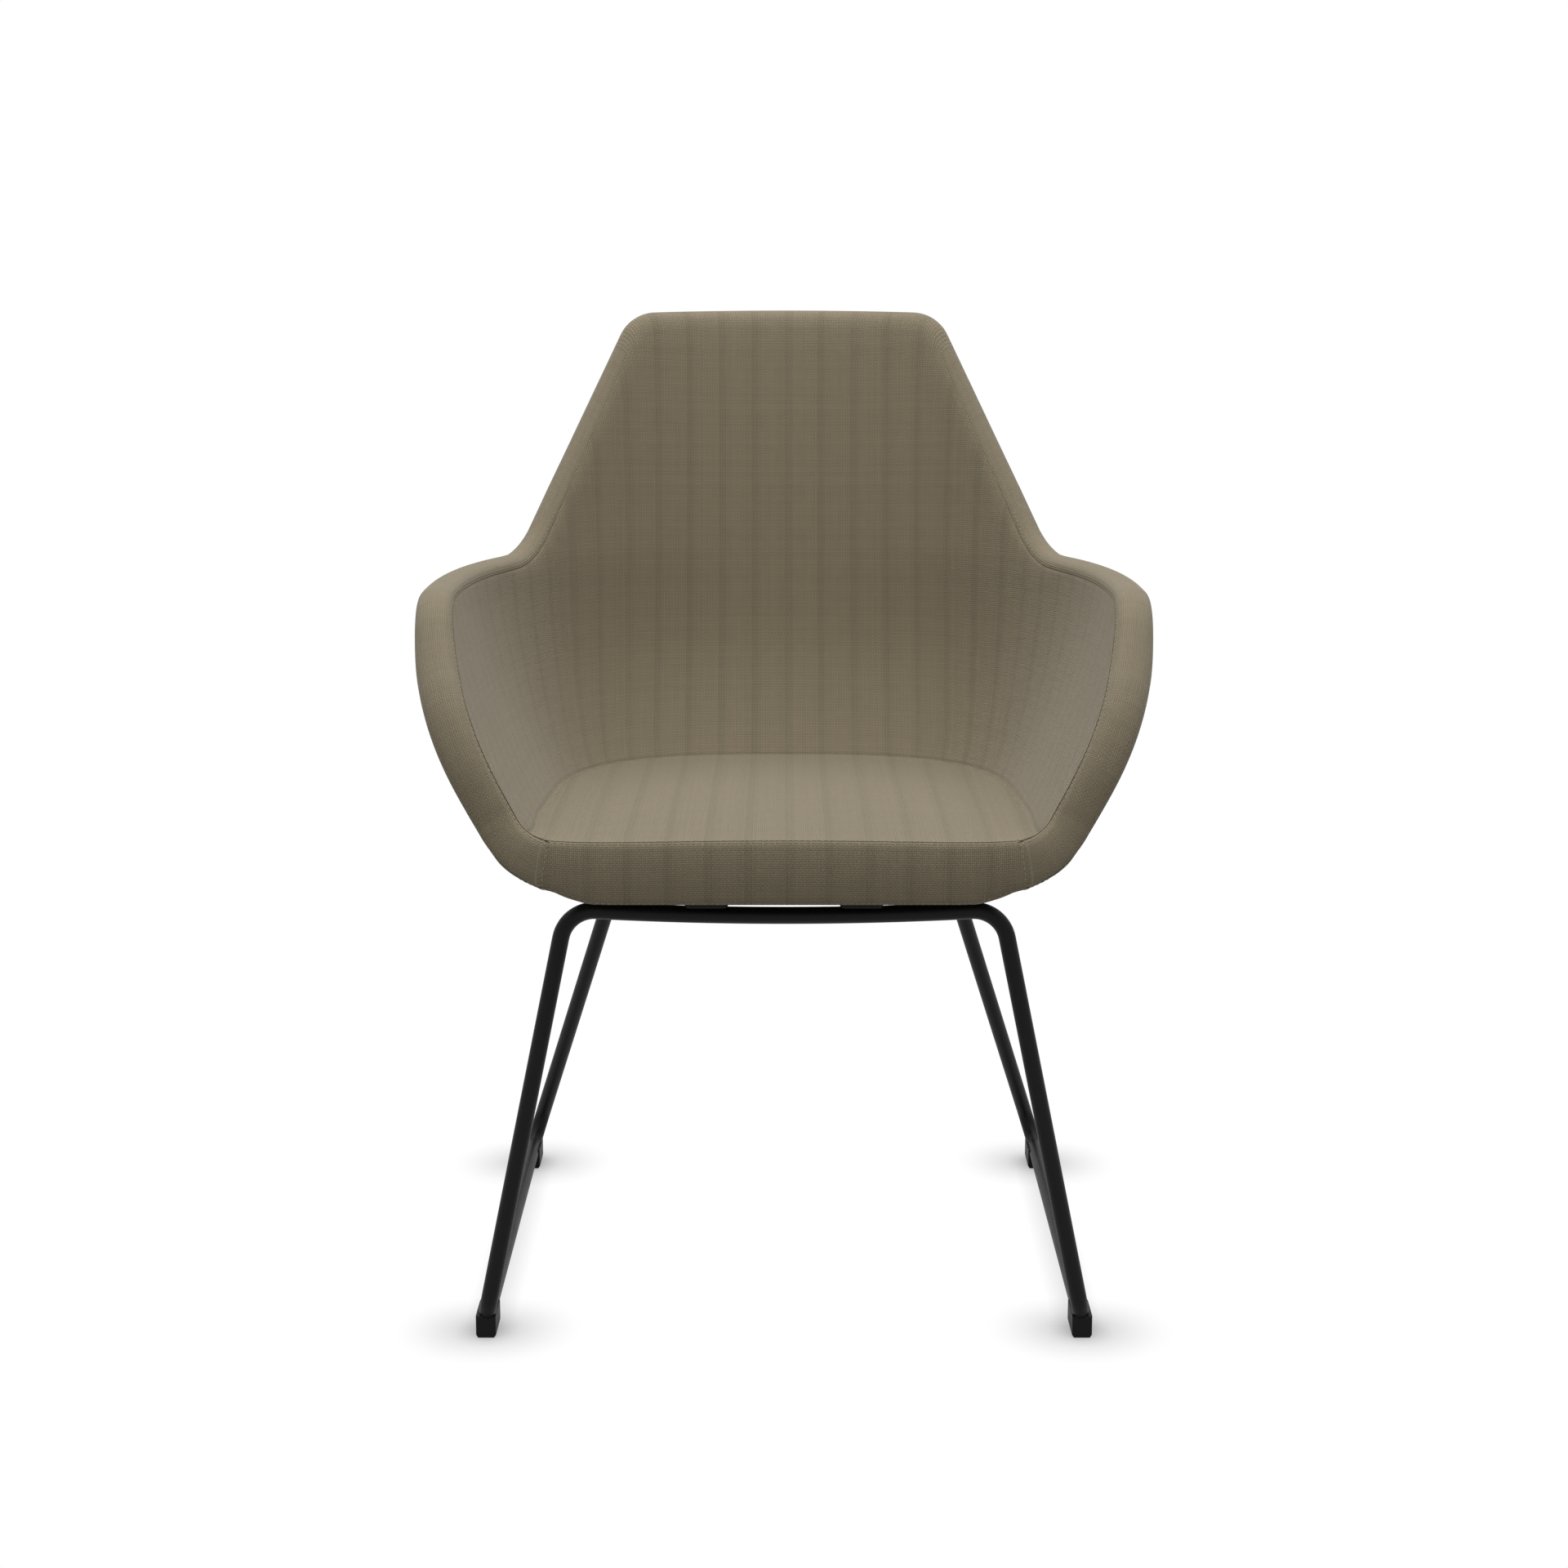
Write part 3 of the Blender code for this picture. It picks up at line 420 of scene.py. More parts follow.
    def corner_turn(self, rise: np.ndarray) -> np.ndarray:
        """Angle by which the rim has turned from the arm towards the front edge at a rise above that edge."""
        level = np.arccos(np.clip(1 - rise / self.corner_bend, -1.0, 1.0))
        return np.clip(math.pi / 2 - level - self.flare_angle, 0.0, None)

    def corner_inset(self, rise: np.ndarray, y: np.ndarray) -> np.ndarray:
        """How far the rounded front corner draws the wall in.

        Args:
            rise: Height of the rim above the front edge.
            y: Depth behind the front edge.

        Returns:
            The distances.
        """
        reach = self.corner_bend * math.tan((math.pi / 2 - self.flare_angle) / 2)
        start = reach * math.cos(self.flare_angle)
        low = np.minimum(rise, start)
        bend = reach + low * math.tan(self.flare_angle) - np.sqrt(2 * self.corner_bend * low - low * low)
        last = np.clip(1 - y / self.corner_radius, 0.0, 1.0)
        return bend + self.corner_radius * (1 - np.sqrt(1 - last * last))

    def wall_thickness(self, z: float, rise: float) -> float:
        """Thickness of the wall at a height and a rise above the seam: fullest low on the arms."""
        belly = eased(self.wall_upper, self.wall_belly, (self.arm_top - z) / self.belly_drop)
        return eased(self.wall_at_seat, belly, rise / self.belly_rise)


@dataclass(frozen=True)
class Spacing:
    """How finely the covers are drawn, with rows that crowd towards the seams."""

    column_length: float = 0.0075
    column_turn: float = math.radians(4)
    wall_rows: int = 24
    seat_rows: int = 26
    bead_rows: int = 12
    seat_run: float = 0.200
    bead_run: float = 0.046
    corner_blend: float = 0.011
    crowd_share: float = 0.4
    lip_step: int = 8
    seam_steps: tuple[float, ...] = (0.0, 0.0004, 0.0008, 0.0012, 0.0017, 0.0023, 0.003, 0.0038, 0.0048, 0.006,
                                     0.0075, 0.0095, 0.012)
    corner_steps: tuple[float, ...] = (0.0, 0.0001, 0.0002, 0.0004, 0.0007, 0.0011, 0.0016, 0.0022, 0.003, 0.0038,
                                       0.0048, 0.006, 0.0075, 0.0095, 0.012, 0.015)

    def crowded(self, length: float, middle: int) -> np.ndarray:
        """Distances along a row with a seam at each end.

        Args:
            length: Length of the row.
            middle: Number of points between the two crowded ends.

        Returns:
            The distances, from 0 to the length.
        """
        near = np.array(self.seam_steps) * min(1.0, self.crowd_share * length / self.seam_steps[-1])
        between = np.linspace(near[-1], length - near[-1], middle + 2)[1:-1]
        return np.concatenate([near, between, length - near[::-1]])

    def seat_shares(self) -> np.ndarray:
        """Shares of the way from the middle of the seat to its seam."""
        near = 1 - np.array(self.seam_steps)[::-1] / self.seat_run
        return np.concatenate([np.linspace(0, near[0], self.seat_rows)[:-1], near])

    def bead_angles(self) -> np.ndarray:
        """Angles round the padded edge, from its inside to its outside."""
        return math.pi * self.crowded(self.bead_run, self.bead_rows) / self.bead_run


class TubSurface:
    """The tub on a fine grid: seat, wall and padded edge of its right half, and full grids made of them."""

    def __init__(self, form: TubForm, spacing: Spacing, front: float) -> None:
        """Lays out the grids.

        Args:
            form: Sizes of the tub.
            spacing: How finely it is drawn.
            front: Where the front edge of the seat is in the frame.
        """
        self.form, self.spacing = form, spacing
        self.shift = np.array((0.0, front, 0.0))
        self.columns = self._lay_columns()
        self.foot = np.array([self._foot_point(c) for c, _ in self.columns])
        self.foot_out = np.array([form.wall_normal(c, p[2]) for (c, _), p in zip(self.columns, self.foot)])
        rise = np.maximum(self.columns[:, 1] - form.seam_height(0) - form.front_lip, 0.0)
        turn = form.corner_turn(rise)
        self.inset = form.corner_inset(rise, self.foot[:, 1])
        self.foot[:, 0] -= self.inset
        self.tilt = form.corner_tilt * turn
        self.fullness = form.corner_fullness * (turn[:, None] / (math.pi / 2 - form.flare_angle)) ** 2
        above = self.columns[:, 1] - self.foot[:, 2] - form.sweep_start
        self.sweep_share = smooth(above / form.sweep_run)[:, None]
        self.inward = -unit(self.foot_out * (1.0, 1.0, 0.0))
        self.foot_out = self._tilted(self.foot_out, self.tilt)
        self._lay_seat()
        self._lay_wall()
        self._lay_edge()
        self._soften_rim()

    @staticmethod
    def _tilted(directions: np.ndarray, angle: np.ndarray) -> np.ndarray:
        """Directions of the right half turned downwards, across the chair."""
        x, y, z = np.moveaxis(directions, -1, 0)
        return np.stack([x * np.cos(angle) + z * np.sin(angle), y, z * np.cos(angle) - x * np.sin(angle)], axis=-1)

    def _lay_columns(self) -> np.ndarray:
        """(column, rim height) pairs, closer where the rim turns and towards the front seam."""
        path = self.form.rim_path()
        points = np.array([self.form.wall_point(*p) for p in path])
        lengths = np.linalg.norm(np.diff(points, axis=0), axis=1)
        heading = unit(np.diff(points, axis=0))
        turns = np.arccos(np.clip((heading[1:] * heading[:-1]).sum(axis=1), -1, 1))
        turns = (np.concatenate([[0], turns]) + np.concatenate([turns, [0]])) / 2
        steps = lengths / self.spacing.column_length + turns / self.spacing.column_turn
        measure = np.concatenate([[0], np.cumsum(steps)])
        near = measure[-1] - np.array(self.spacing.corner_steps)[::-1] / self.spacing.column_length
        at = np.concatenate([np.linspace(0, near[0], math.ceil(near[0]) + 1)[:-1], near])
        return np.column_stack([np.interp(at, measure, path[:, k]) for k in (0, 1)])

    def _foot_point(self, column: float) -> np.ndarray:
        """Where a column crosses the seam at the foot of the wall."""
        rough = self.form.wall_point(column, self.form.seat_height)
        return self.form.wall_point(column, self.form.seam_height(rough[1]))

    def _lay_seat(self) -> None:
        """Seat rows, from the middle of the seat out to the seam."""
        form = self.form
        self.shares = self.spacing.seat_shares()
        share = self.shares[None, :]
        self.seat_bed = self._seat_rows(self.foot, 0.0)
        swept = self.foot + self.inward * form.foot_sweep * self.sweep_share
        self.seat = self._seat_rows(swept, form.foot_drop * self.sweep_share)
        y, z = self.seat_bed[..., 1], self.seat_bed[..., 2]
        later = form.full_front * (1 - smooth(self.foot[:, 1:2] / form.full_front_run))
        flat, full = form.flat_share + later, form.thick_share + later
        turn = np.clip((share - flat) / (1 - flat), 0, 1)[..., None]
        self.seat_out = unit(self.foot_out[:, None] * turn - UP * (1 - turn))
        ramp = form.seat_height - form.front_thickness - form.underside_ramp * y
        floor = np.maximum(form.seat_height - form.seat_thickness, ramp)
        thin = smooth((share - full) / (1 - full))
        self.seat_thick = ((z - floor) * (1 - thin) + (form.wall_at_seat + self.fullness) * thin)[..., None]

    def _seat_rows(self, seam: np.ndarray, drop: np.ndarray | float) -> np.ndarray:
        """Points from the middle of the seat out to a seam.

        Args:
            seam: Points of the seam, whose height isn't used.
            drop: How far the seat's edge stays below the foot of the wall.

        Returns:
            A grid of points.
        """
        form, share = self.form, self.shares[None, :, None]
        middle = np.column_stack([0 * seam[:, 0], np.minimum(self.foot[:, 1], form.tub_centre)])
        plan = middle[:, None] + (seam[:, None, :2] - middle[:, None]) * share
        share, y = share[..., 0], plan[..., 1]
        crown = eased(form.front_edge_rise, form.seat_crown, y / form.crown_run)
        rise = (form.edge_rise(self.foot[:, 1:2]) - drop) * share ** form.edge_power + crown * (1 - share ** 2)
        z = form.seat_height - form.seat_drop * y / form.seat_depth + rise
        return np.dstack([plan, z])

    def _lay_wall(self) -> None:
        """Wall rows, from the seam up to the rim, with the run of the cloth along the wall."""
        form = self.form
        points, outs, thick, runs = [], [], [], []
        for (column, top), foot in zip(self.columns, self.foot):
            heights = [float(z) for z in foot[2] + self.spacing.crowded(top - foot[2], self.spacing.wall_rows)]
            points.append([form.wall_point(column, z) for z in heights])
            outs.append([form.wall_normal(column, z) for z in heights])
            thick.append([form.wall_thickness(z, z - foot[2]) for z in heights])
            runs.append([form.wall_run(column, z) for z in heights])
        self.wall, self.wall_out = np.array(points), self._tilted(np.array(outs), self.tilt[:, None])
        self.wall[..., 0] -= self.inset[:, None]
        self.wall_thick = np.array(thick)[..., None] + self.fullness[:, None]
        self.wall_runs = np.array(runs)
        near = np.clip(1 - (self.wall[..., 2] - self.foot[:, None, 2]) / form.foot_height, 0, 1)[..., None] ** 2
        near = near * self.sweep_share[:, None]
        self.lining = self.wall + self.inward[:, None] * form.foot_sweep * near
        self.lining[..., 2] -= form.foot_drop * near[..., 0]

    def _lay_edge(self) -> None:
        """The edge all round: down the rim, then from the front corner to the seat's front middle."""
        form = self.form
        self.last = len(self.columns) - 1
        lip = slice(-2, 0, -self.spacing.lip_step)
        inner = np.vstack([self.wall[:, -1], self.wall[-1, lip], self.seat[-1, ::-1]])
        self.edge_inner = inner
        self.chord = np.vstack([self.wall_out[:, -1], self.wall_out[-1, lip], self.seat_out[-1, ::-1]])
        self.chord_length = np.vstack([self.wall_thick[:, -1], self.wall_thick[-1, lip], self.seat_thick[-1, ::-1]])
        middle = inner + self.chord * self.chord_length / 2
        run = run_along(middle, 0)
        along = np.gradient(middle, axis=0)
        along[0], along[-1] = (1, 0, 0), (-1, 0, 0)
        sharp = unit(np.cross(unit(along), self.chord))
        self.edge_out = unit(blended(sharp, run, self.spacing.corner_blend))
        self.edge_run = run
        bulge = eased(form.front_bulge, form.edge_bulge, (inner[:, 2:] - form.seat_height) / form.bulge_run)
        angle = self.spacing.bead_angles()[None, :, None]
        across = self.chord[:, None] * self.chord_length[:, None] / 2 * (1 - np.cos(angle))
        self.roll_bed = inner[:, None] + across + self.edge_out[:, None] * form.gap
        swell = np.abs(np.sin(angle)) ** form.bulge_fullness
        self.roll = self.roll_bed + self.edge_out[:, None] * bulge[:, None] * swell

    def _soften_rim(self) -> None:
        """Rounds the wall into the padded edge, widely on the back and tightly on the arms."""
        form, rows = self.form, self.lining.shape[1]
        notch = int(np.argmax(self.columns[:, 1] < form.arm_top + form.notch_reach))
        for i in range(self.last + 1):
            above = self.edge_run[notch] + form.soft_fade - self.edge_run[i]
            width = eased(form.arm_softness, form.back_softness, above / form.soft_fade)
            section = np.vstack([self.lining[i], self.roll[i, 1:]])
            run = run_along(section, 0)
            soft = blended(section, run, width)
            near = smooth(1 + (run - run[rows - 1]) / min(form.soft_reach, run[rows - 1]))
            near = (near * smooth((run[-1] - run) / (2 * width)))[:, None]
            lost = (section @ self.edge_out[i]).max() - (soft @ self.edge_out[i]).max()
            change = (soft - section + self.edge_out[i] * lost) * near
            section = section + change
            self.lining[i], self.roll[i] = section[:rows], section[rows - 1:]
            self.roll_bed[i] += change[rows - 1:]

    def top_corner(self) -> int:
        """The column just past the top corner of the back, where the edge rolls begin."""
        return int(np.argmax(self.columns[:, 1] < self.form.back_top - self.form.top_radius))

    def seat_under(self, depth: float) -> np.ndarray:
        """Full seat grid at a depth inside the underside."""
        return both_sides(self.seat_bed + self.seat_out * (self.seat_thick - depth)) + self.shift

    def seat_face(self) -> np.ndarray:
        """Full grid of the sitting surface."""
        return both_sides(self.seat) + self.shift

    def wall_face(self) -> np.ndarray:
        """Full grid of the inside of the wall."""
        return both_sides(self.lining) + self.shift

    def wall_outside(self, depth: float) -> np.ndarray:
        """Full wall grid at a depth inside the outside of the tub."""
        return both_sides(self.wall + self.wall_out * (self.wall_thick - depth)) + self.shift

    def bead(self) -> np.ndarray:
        """The padded edge's rounded section at every edge point of the right half."""
        return self.roll + self.shift

    def bead_seat(self) -> np.ndarray:
        """The flat bed of the padded edge, a clearance above the layers' ends."""
        return self.roll_bed + self.shift


# Finishes

Socket = bpy.types.NodeSocket
Colour = tuple[float, float, float]
FLOAT, VECTOR, COLOUR = "NodeSocketFloat", "NodeSocketVector", "NodeSocketColor"
SURFACE = {"Colour": COLOUR, "Height": FLOAT, "Roughness": FLOAT}


class Bench:
    """Places and links the nodes of one tree."""

    def __init__(self, tree: bpy.types.NodeTree) -> None:
        """Takes the tree to work on."""
        self.tree = tree

    def feed(self, socket: Socket, value: object) -> None:
        """Links a socket to another, or sets its value."""
        if isinstance(value, bpy.types.NodeSocket):
            self.tree.links.new(value, socket)
        else:
            socket.default_value = value

    def add(self, kind: str, inputs: dict | None = None, **settings: object) -> bpy.types.Node:
        """Adds a node.

        Args:
            kind: The node's type.
            inputs: Values or links of its inputs, by name or number.
            settings: Properties of the node.

        Returns:
            The node.
        """
        node = self.tree.nodes.new(kind)
        for name, value in settings.items():
            setattr(node, name, value)
        for name, value in (inputs or {}).items():
            self.feed(node.inputs[name], value)
        return node

    def math(self, operation: str, *values: object) -> Socket:
        """Result of a maths node."""
        return self.add("ShaderNodeMath", dict(enumerate(values)), operation=operation).outputs[0]

    def ramp(self, value: Socket, start: float, end: float, low: float = 0.0, high: float = 1.0) -> Socket:
        """A value eased from low to high while another goes from start to end."""
        inputs = {"Value": value, "From Min": start, "From Max": end, "To Min": low, "To Max": high}
        return self.add("ShaderNodeMapRange", inputs, interpolation_type="SMOOTHSTEP").outputs["Result"]

    def mix(self, factor: object, first: object, second: object, blend: str = "MIX") -> Socket:
        """Blend of two colours."""
        node = self.add("ShaderNodeMix", {0: factor, 6: first, 7: second}, data_type="RGBA", blend_type=blend)
        return node.outputs[2]

    def noise(self, vector: Socket, scale: Socket | float, detail: float = 2.0, dimensions: str = "3D") -> Socket:
        """Noise from 0 to 1 at a scale in cycles per metre."""
        inputs = {"Vector": vector, "Scale": scale, "Detail": detail}
        return self.add("ShaderNodeTexNoise", inputs, noise_dimensions=dimensions).outputs["Fac"]


def new_group(name: str, kind: str, inputs: dict[str, str], outputs: dict[str, str]) -> tuple[Bench, dict, dict]:
    """Starts a node group.

    Args:
        name: Name of the group.
        kind: Type of its tree.
        inputs: Socket types of its inputs, by name.
        outputs: Socket types of its outputs, by name.

    Returns:
        A bench on the group, and what its inputs give and its outputs take, by name.
    """
    tree = bpy.data.node_groups.new(name, kind)
    for in_out, sockets in (("INPUT", inputs), ("OUTPUT", outputs)):
        for socket, socket_kind in sockets.items():
            tree.interface.new_socket(name=socket, in_out=in_out, socket_type=socket_kind)
    bench = Bench(tree)
    entry, end = bench.add("NodeGroupInput").outputs, bench.add("NodeGroupOutput").inputs
    return bench, {socket: entry[socket] for socket in inputs}, {socket: end[socket] for socket in outputs}


@dataclass(frozen=True)
class Weave:
    """Rounding of the cloth's yarns, the painted shade in their hollows, their unevenness, and the edges of its
    stripes.
    """

    roundness: float = 0.6
    # Painted shade: the colour in the hollows between the yarns, and how much lighter it grows on their crests.
    painted_hollow_shade: float = 0.56
    painted_crest_shade: float = 0.52
    fibre_scale: float = 2600.0
    fibre_height: float = 0.35
    fibre_shade: float = 0.22
    fibre_roughness: float = 0.12
    roughness: float = 0.84
    tint_shade: float = 0.10
    slub_shade: float = 0.12
    slub_step: float = 0.37
    slub_scale: float = 45.0
    sharp_edge: float = 0.0006
    soft_start: float = -0.0012
    soft_end: float = 0.0055


def woven_cloth_group(look: Weave = Weave()) -> bpy.types.NodeTree:
    """Plain weave of two yarns with fine stripes and painted shade in the yarns' hollows, laid out on a UV map in
    metres.

    Args:
        look: How the yarns look.

    Returns:
        The node group, with outputs for colour, yarn height and roughness.
    """
    lengths = ("Warp Pitch", "Weft Pitch", "Stripe Depth", "Stripe Pitch", "Stripe Offset", "Stripe Half")
    inputs = {"Cloth": VECTOR, "Warp": COLOUR, "Weft": COLOUR, **dict.fromkeys(lengths, FLOAT)}
    bench, given, end = new_group("woven_cloth", "ShaderNodeTree", inputs, SURFACE)
    parts = bench.add("ShaderNodeSeparateXYZ", {0: given["Cloth"]})
    u, v = parts.outputs["X"], parts.outputs["Y"]
    x, y = bench.math("DIVIDE", u, given["Warp Pitch"]), bench.math("DIVIDE", v, given["Weft Pitch"])
    column, row = bench.math("FLOOR", x), bench.math("FLOOR", y)
    over = bench.math("FRACT", bench.math("MULTIPLY", bench.math("ADD", column, row), 0.5))
    over = bench.math("MULTIPLY", over, 2.0)
    across, along = (bench.math("SINE", bench.math("MULTIPLY", bench.math("FRACT", axis), math.pi))
                     for axis in (x, y))
    humps = []
    for side, length in ((across, along), (along, across)):
        crest = bench.math("MULTIPLY_ADD", length, 0.5, 0.5)
        humps.append(bench.math("MULTIPLY", bench.math("POWER", side, look.roundness), crest))
    height = bench.add("ShaderNodeMix", {0: over, 2: humps[0], 3: humps[1]}).outputs[0]

    fibre = bench.noise(given["Cloth"], look.fibre_scale)
    bench.feed(end["Height"], bench.math("MULTIPLY_ADD", fibre, look.fibre_height, height))
    yarns = []
    for number, place in ((column, v), (row, u)):
        tint = bench.add("ShaderNodeTexWhiteNoise", {"W": number}, noise_dimensions="1D").outputs["Value"]
        slub = bench.add("ShaderNodeCombineXYZ", {0: bench.math("MULTIPLY", number, look.slub_step),
                                                  1: bench.math("MULTIPLY", place, look.slub_scale)}).outputs[0]
        slub = bench.math("MULTIPLY", bench.noise(slub, 1.0, 1.0, "2D"), look.slub_shade)
        yarns.append(bench.math("ADD", bench.math("MULTIPLY", tint, look.tint_shade), slub))
    yarn = bench.add("ShaderNodeMix", {0: over, 2: yarns[0], 3: yarns[1]}).outputs[0]
    # Painted shade: darker in the hollows between the yarns, lighter on their crests.
    shade = bench.math("MULTIPLY_ADD", height, look.painted_crest_shade, look.painted_hollow_shade)
    shade = bench.math("ADD", shade, bench.math("MULTIPLY_ADD", fibre, look.fibre_shade, -look.fibre_shade / 2))
    shade = bench.math("ADD", shade, bench.math("SUBTRACT", yarn, (look.tint_shade + look.slub_shade) / 2))

    place = bench.math("DIVIDE", bench.math("SUBTRACT", u, given["Stripe Offset"]), given["Stripe Pitch"])
    place = bench.math("SUBTRACT", bench.math("FRACT", bench.math("ADD", place, 0.5)), 0.5)
    place = bench.math("MULTIPLY", place, given["Stripe Pitch"])
    before, behind = (bench.math(way, place, given["Stripe Half"]) for way in ("ADD", "SUBTRACT"))
    sharp = bench.ramp(before, -look.sharp_edge, look.sharp_edge)
    soft = bench.ramp(behind, look.soft_start, look.soft_end, 1.0, 0.0)
    stripe = bench.math("MULTIPLY", bench.math("MULTIPLY", sharp, soft), given["Stripe Depth"])
    shade = bench.math("MULTIPLY", shade, bench.math("SUBTRACT", 1.0, stripe))

    cloth = bench.mix(over, given["Warp"], given["Weft"])
    bench.feed(end["Colour"], bench.mix(1.0, cloth, shade, "MULTIPLY"))
    bench.feed(end["Roughness"], bench.math("MULTIPLY_ADD", fibre, look.fibre_roughness, look.roughness))
    return bench.tree


def surface_mottle_group(cloud_scale: float = 38.0, cloud_roughness: float = 0.35,
                         grain_roughness: float = 0.25) -> bpy.types.NodeTree:
    """Slow and fine unevenness of a coated or moulded surface.

    Args:
        cloud_scale: Cycles of the slow unevenness per metre.
        cloud_roughness: How far it changes the roughness.
        grain_roughness: How far the fine unevenness does.

    Returns:
        The node group, with outputs for colour, fine height and roughness.
    """
    inputs = {"Place": VECTOR, "Colour": COLOUR, **dict.fromkeys(("Unevenness", "Grain", "Roughness"), FLOAT)}
    bench, given, end = new_group("surface_mottle", "ShaderNodeTree", inputs, SURFACE)
    cloud = bench.math("SUBTRACT", bench.noise(given["Place"], cloud_scale, 4.0), 0.5)
    grain = bench.noise(given["Place"], given["Grain"])
    amount = bench.math("MULTIPLY", cloud, given["Unevenness"])
    fine = bench.math("MULTIPLY", bench.math("SUBTRACT", grain, 0.5), given["Unevenness"])
    shade = bench.math("ADD", bench.math("ADD", amount, fine), 1.0)
    bench.feed(end["Colour"], bench.mix(1.0, given["Colour"], shade, "MULTIPLY"))
    bench.feed(end["Height"], grain)
    rough = bench.math("MULTIPLY_ADD", amount, cloud_roughness, given["Roughness"])
    bench.feed(end["Roughness"], bench.math("MULTIPLY_ADD", fine, grain_roughness, rough))
    return bench.tree


def new_material(name: str) -> tuple[bpy.types.Material, Bench, bpy.types.Node]:
    """An empty material with its shader.

    Args:
        name: Name of the material.

    Returns:
        The material, a bench on its nodes and its Principled shader.
    """
    material = bpy.data.materials.new(name)
    material.use_nodes = True
    return material, Bench(material.node_tree), material.node_tree.nodes["Principled BSDF"]


def wear(bench: Bench, shader: bpy.types.Node, group: bpy.types.NodeTree, inputs: dict[str, object], relief: float,
         strength: float, **settings: object) -> None:
    """Gives a shader the colour, roughness and relief of a shared group.

    Args:
        bench: A bench on the material's nodes.
        shader: The shader.
        group: The shared group.
        inputs: Values or links of the group's inputs.
        relief: Height of the relief.
        strength: How strongly it shows.
        settings: The shader's other values, with _ for each space in their names.
    """
    surface = bench.add("ShaderNodeGroup", inputs, node_tree=group)
    bump = bench.add("ShaderNodeBump", {"Height": surface.outputs["Height"], "Distance": relief, "Strength": strength})
    values = {"Base Color": surface.outputs["Colour"], "Roughness": surface.outputs["Roughness"],
              "Normal": bump.outputs["Normal"], **{name.replace("_", " "): value for name, value in settings.items()}}
    for name, value in values.items():
        bench.feed(shader.inputs[name], value)


class Pattern(Enum):
    """How strongly the stripes of a fabric show."""

    STRIPED = 0.085
    PLAIN = 0.0


@dataclass(frozen=True)
class FabricFinish:
    """Woven upholstery fabric."""

    name: str
    warp: Colour = (0.250, 0.213, 0.146)
    weft: Colour = (0.228, 0.190, 0.126)
    pattern: Pattern = Pattern.STRIPED
    warp_pitch: float = 0.00153
    weft_pitch: float = 0.00175
    stripe_pitch: float = 0.031
    stripe_offset: float = 0.003
    stripe_half: float = 0.0023
    relief: float = 0.0005
    relief_strength: float = 0.45
    specular: float = 0.15
    sheen: float = 0.25
    sheen_roughness: float = 0.45
    sheen_tint: Colour = (0.95, 0.92, 0.86)

    def material(self, weave: bpy.types.NodeTree) -> bpy.types.Material:
        """The fabric on the shared weave group."""
        material, bench, shader = new_material(self.name)
        place = bench.add("ShaderNodeUVMap", uv_map=UV_NAME).outputs["UV"]
        inputs = {"Cloth": place, "Warp": (*self.warp, 1.0), "Weft": (*self.weft, 1.0),
                  "Warp Pitch": self.warp_pitch, "Weft Pitch": self.weft_pitch, "Stripe Depth": self.pattern.value,
                  "Stripe Pitch": self.stripe_pitch, "Stripe Offset": self.stripe_offset,
                  "Stripe Half": self.stripe_half}
        wear(bench, shader, weave, inputs, self.relief, self.relief_strength, Specular_IOR_Level=self.specular,
             Sheen_Weight=self.sheen, Sheen_Roughness=self.sheen_roughness, Sheen_Tint=(*self.sheen_tint, 1.0))
        return material


@dataclass(frozen=True)
class HardFinish:
    """A coated, moulded, plated or sewing-thread surface on the shared mottle group."""

    name: str
    colour: Colour
    roughness: float
    metallic: float = 0.0
    specular: float = 0.5
    unevenness: float = 0.3
    grain: float = 900.0
    relief: float = 0.00004
    relief_strength: float = 0.4

    def material(self, mottle: bpy.types.NodeTree) -> bpy.types.Material:
        """The finish on the shared mottle group."""
        material, bench, shader = new_material(self.name)
        place = bench.add("ShaderNodeTexCoord").outputs["Object"]
        inputs = {"Place": place, "Colour": (*self.colour, 1.0), "Unevenness": self.unevenness, "Grain": self.grain,
                  "Roughness": self.roughness}
        wear(bench, shader, mottle, inputs, self.relief, self.relief_strength, Metallic=self.metallic,
             Specular_IOR_Level=self.specular)
        return material


class Finishes:
    """Every finish of the chair, made once."""

    def __init__(self) -> None:
        """Builds the shared groups and the materials on them."""
        weave, mottle = woven_cloth_group(), surface_mottle_group()
        self.striped = FabricFinish("striped_cloth").material(weave)
        self.plain = FabricFinish("plain_cloth", pattern=Pattern.PLAIN).material(weave)
        self.thread = HardFinish("sewing_thread", (0.30, 0.26, 0.19), 0.7, specular=0.2, grain=4000.0,
                                 relief=0.0001).material(mottle)
        self.coat = HardFinish("black_powder_coat_finish", (0.0055, 0.0055, 0.0055), 0.46, specular=0.14,
                               grain=1400.0).material(mottle)
        self.zinc = HardFinish("zinc_plate_finish", (0.55, 0.56, 0.57), 0.36, metallic=1.0, grain=2200.0,
                               unevenness=0.2).material(mottle)
        self.plastic = HardFinish("black_plastic_finish", (0.005, 0.005, 0.005), 0.55, specular=0.14, grain=2600.0,
                                  relief=0.00006).material(mottle)
        self.board = HardFinish("moulded_shell_finish", (0.42, 0.29, 0.17), 0.6, grain=300.0).material(mottle)


# Upholstery

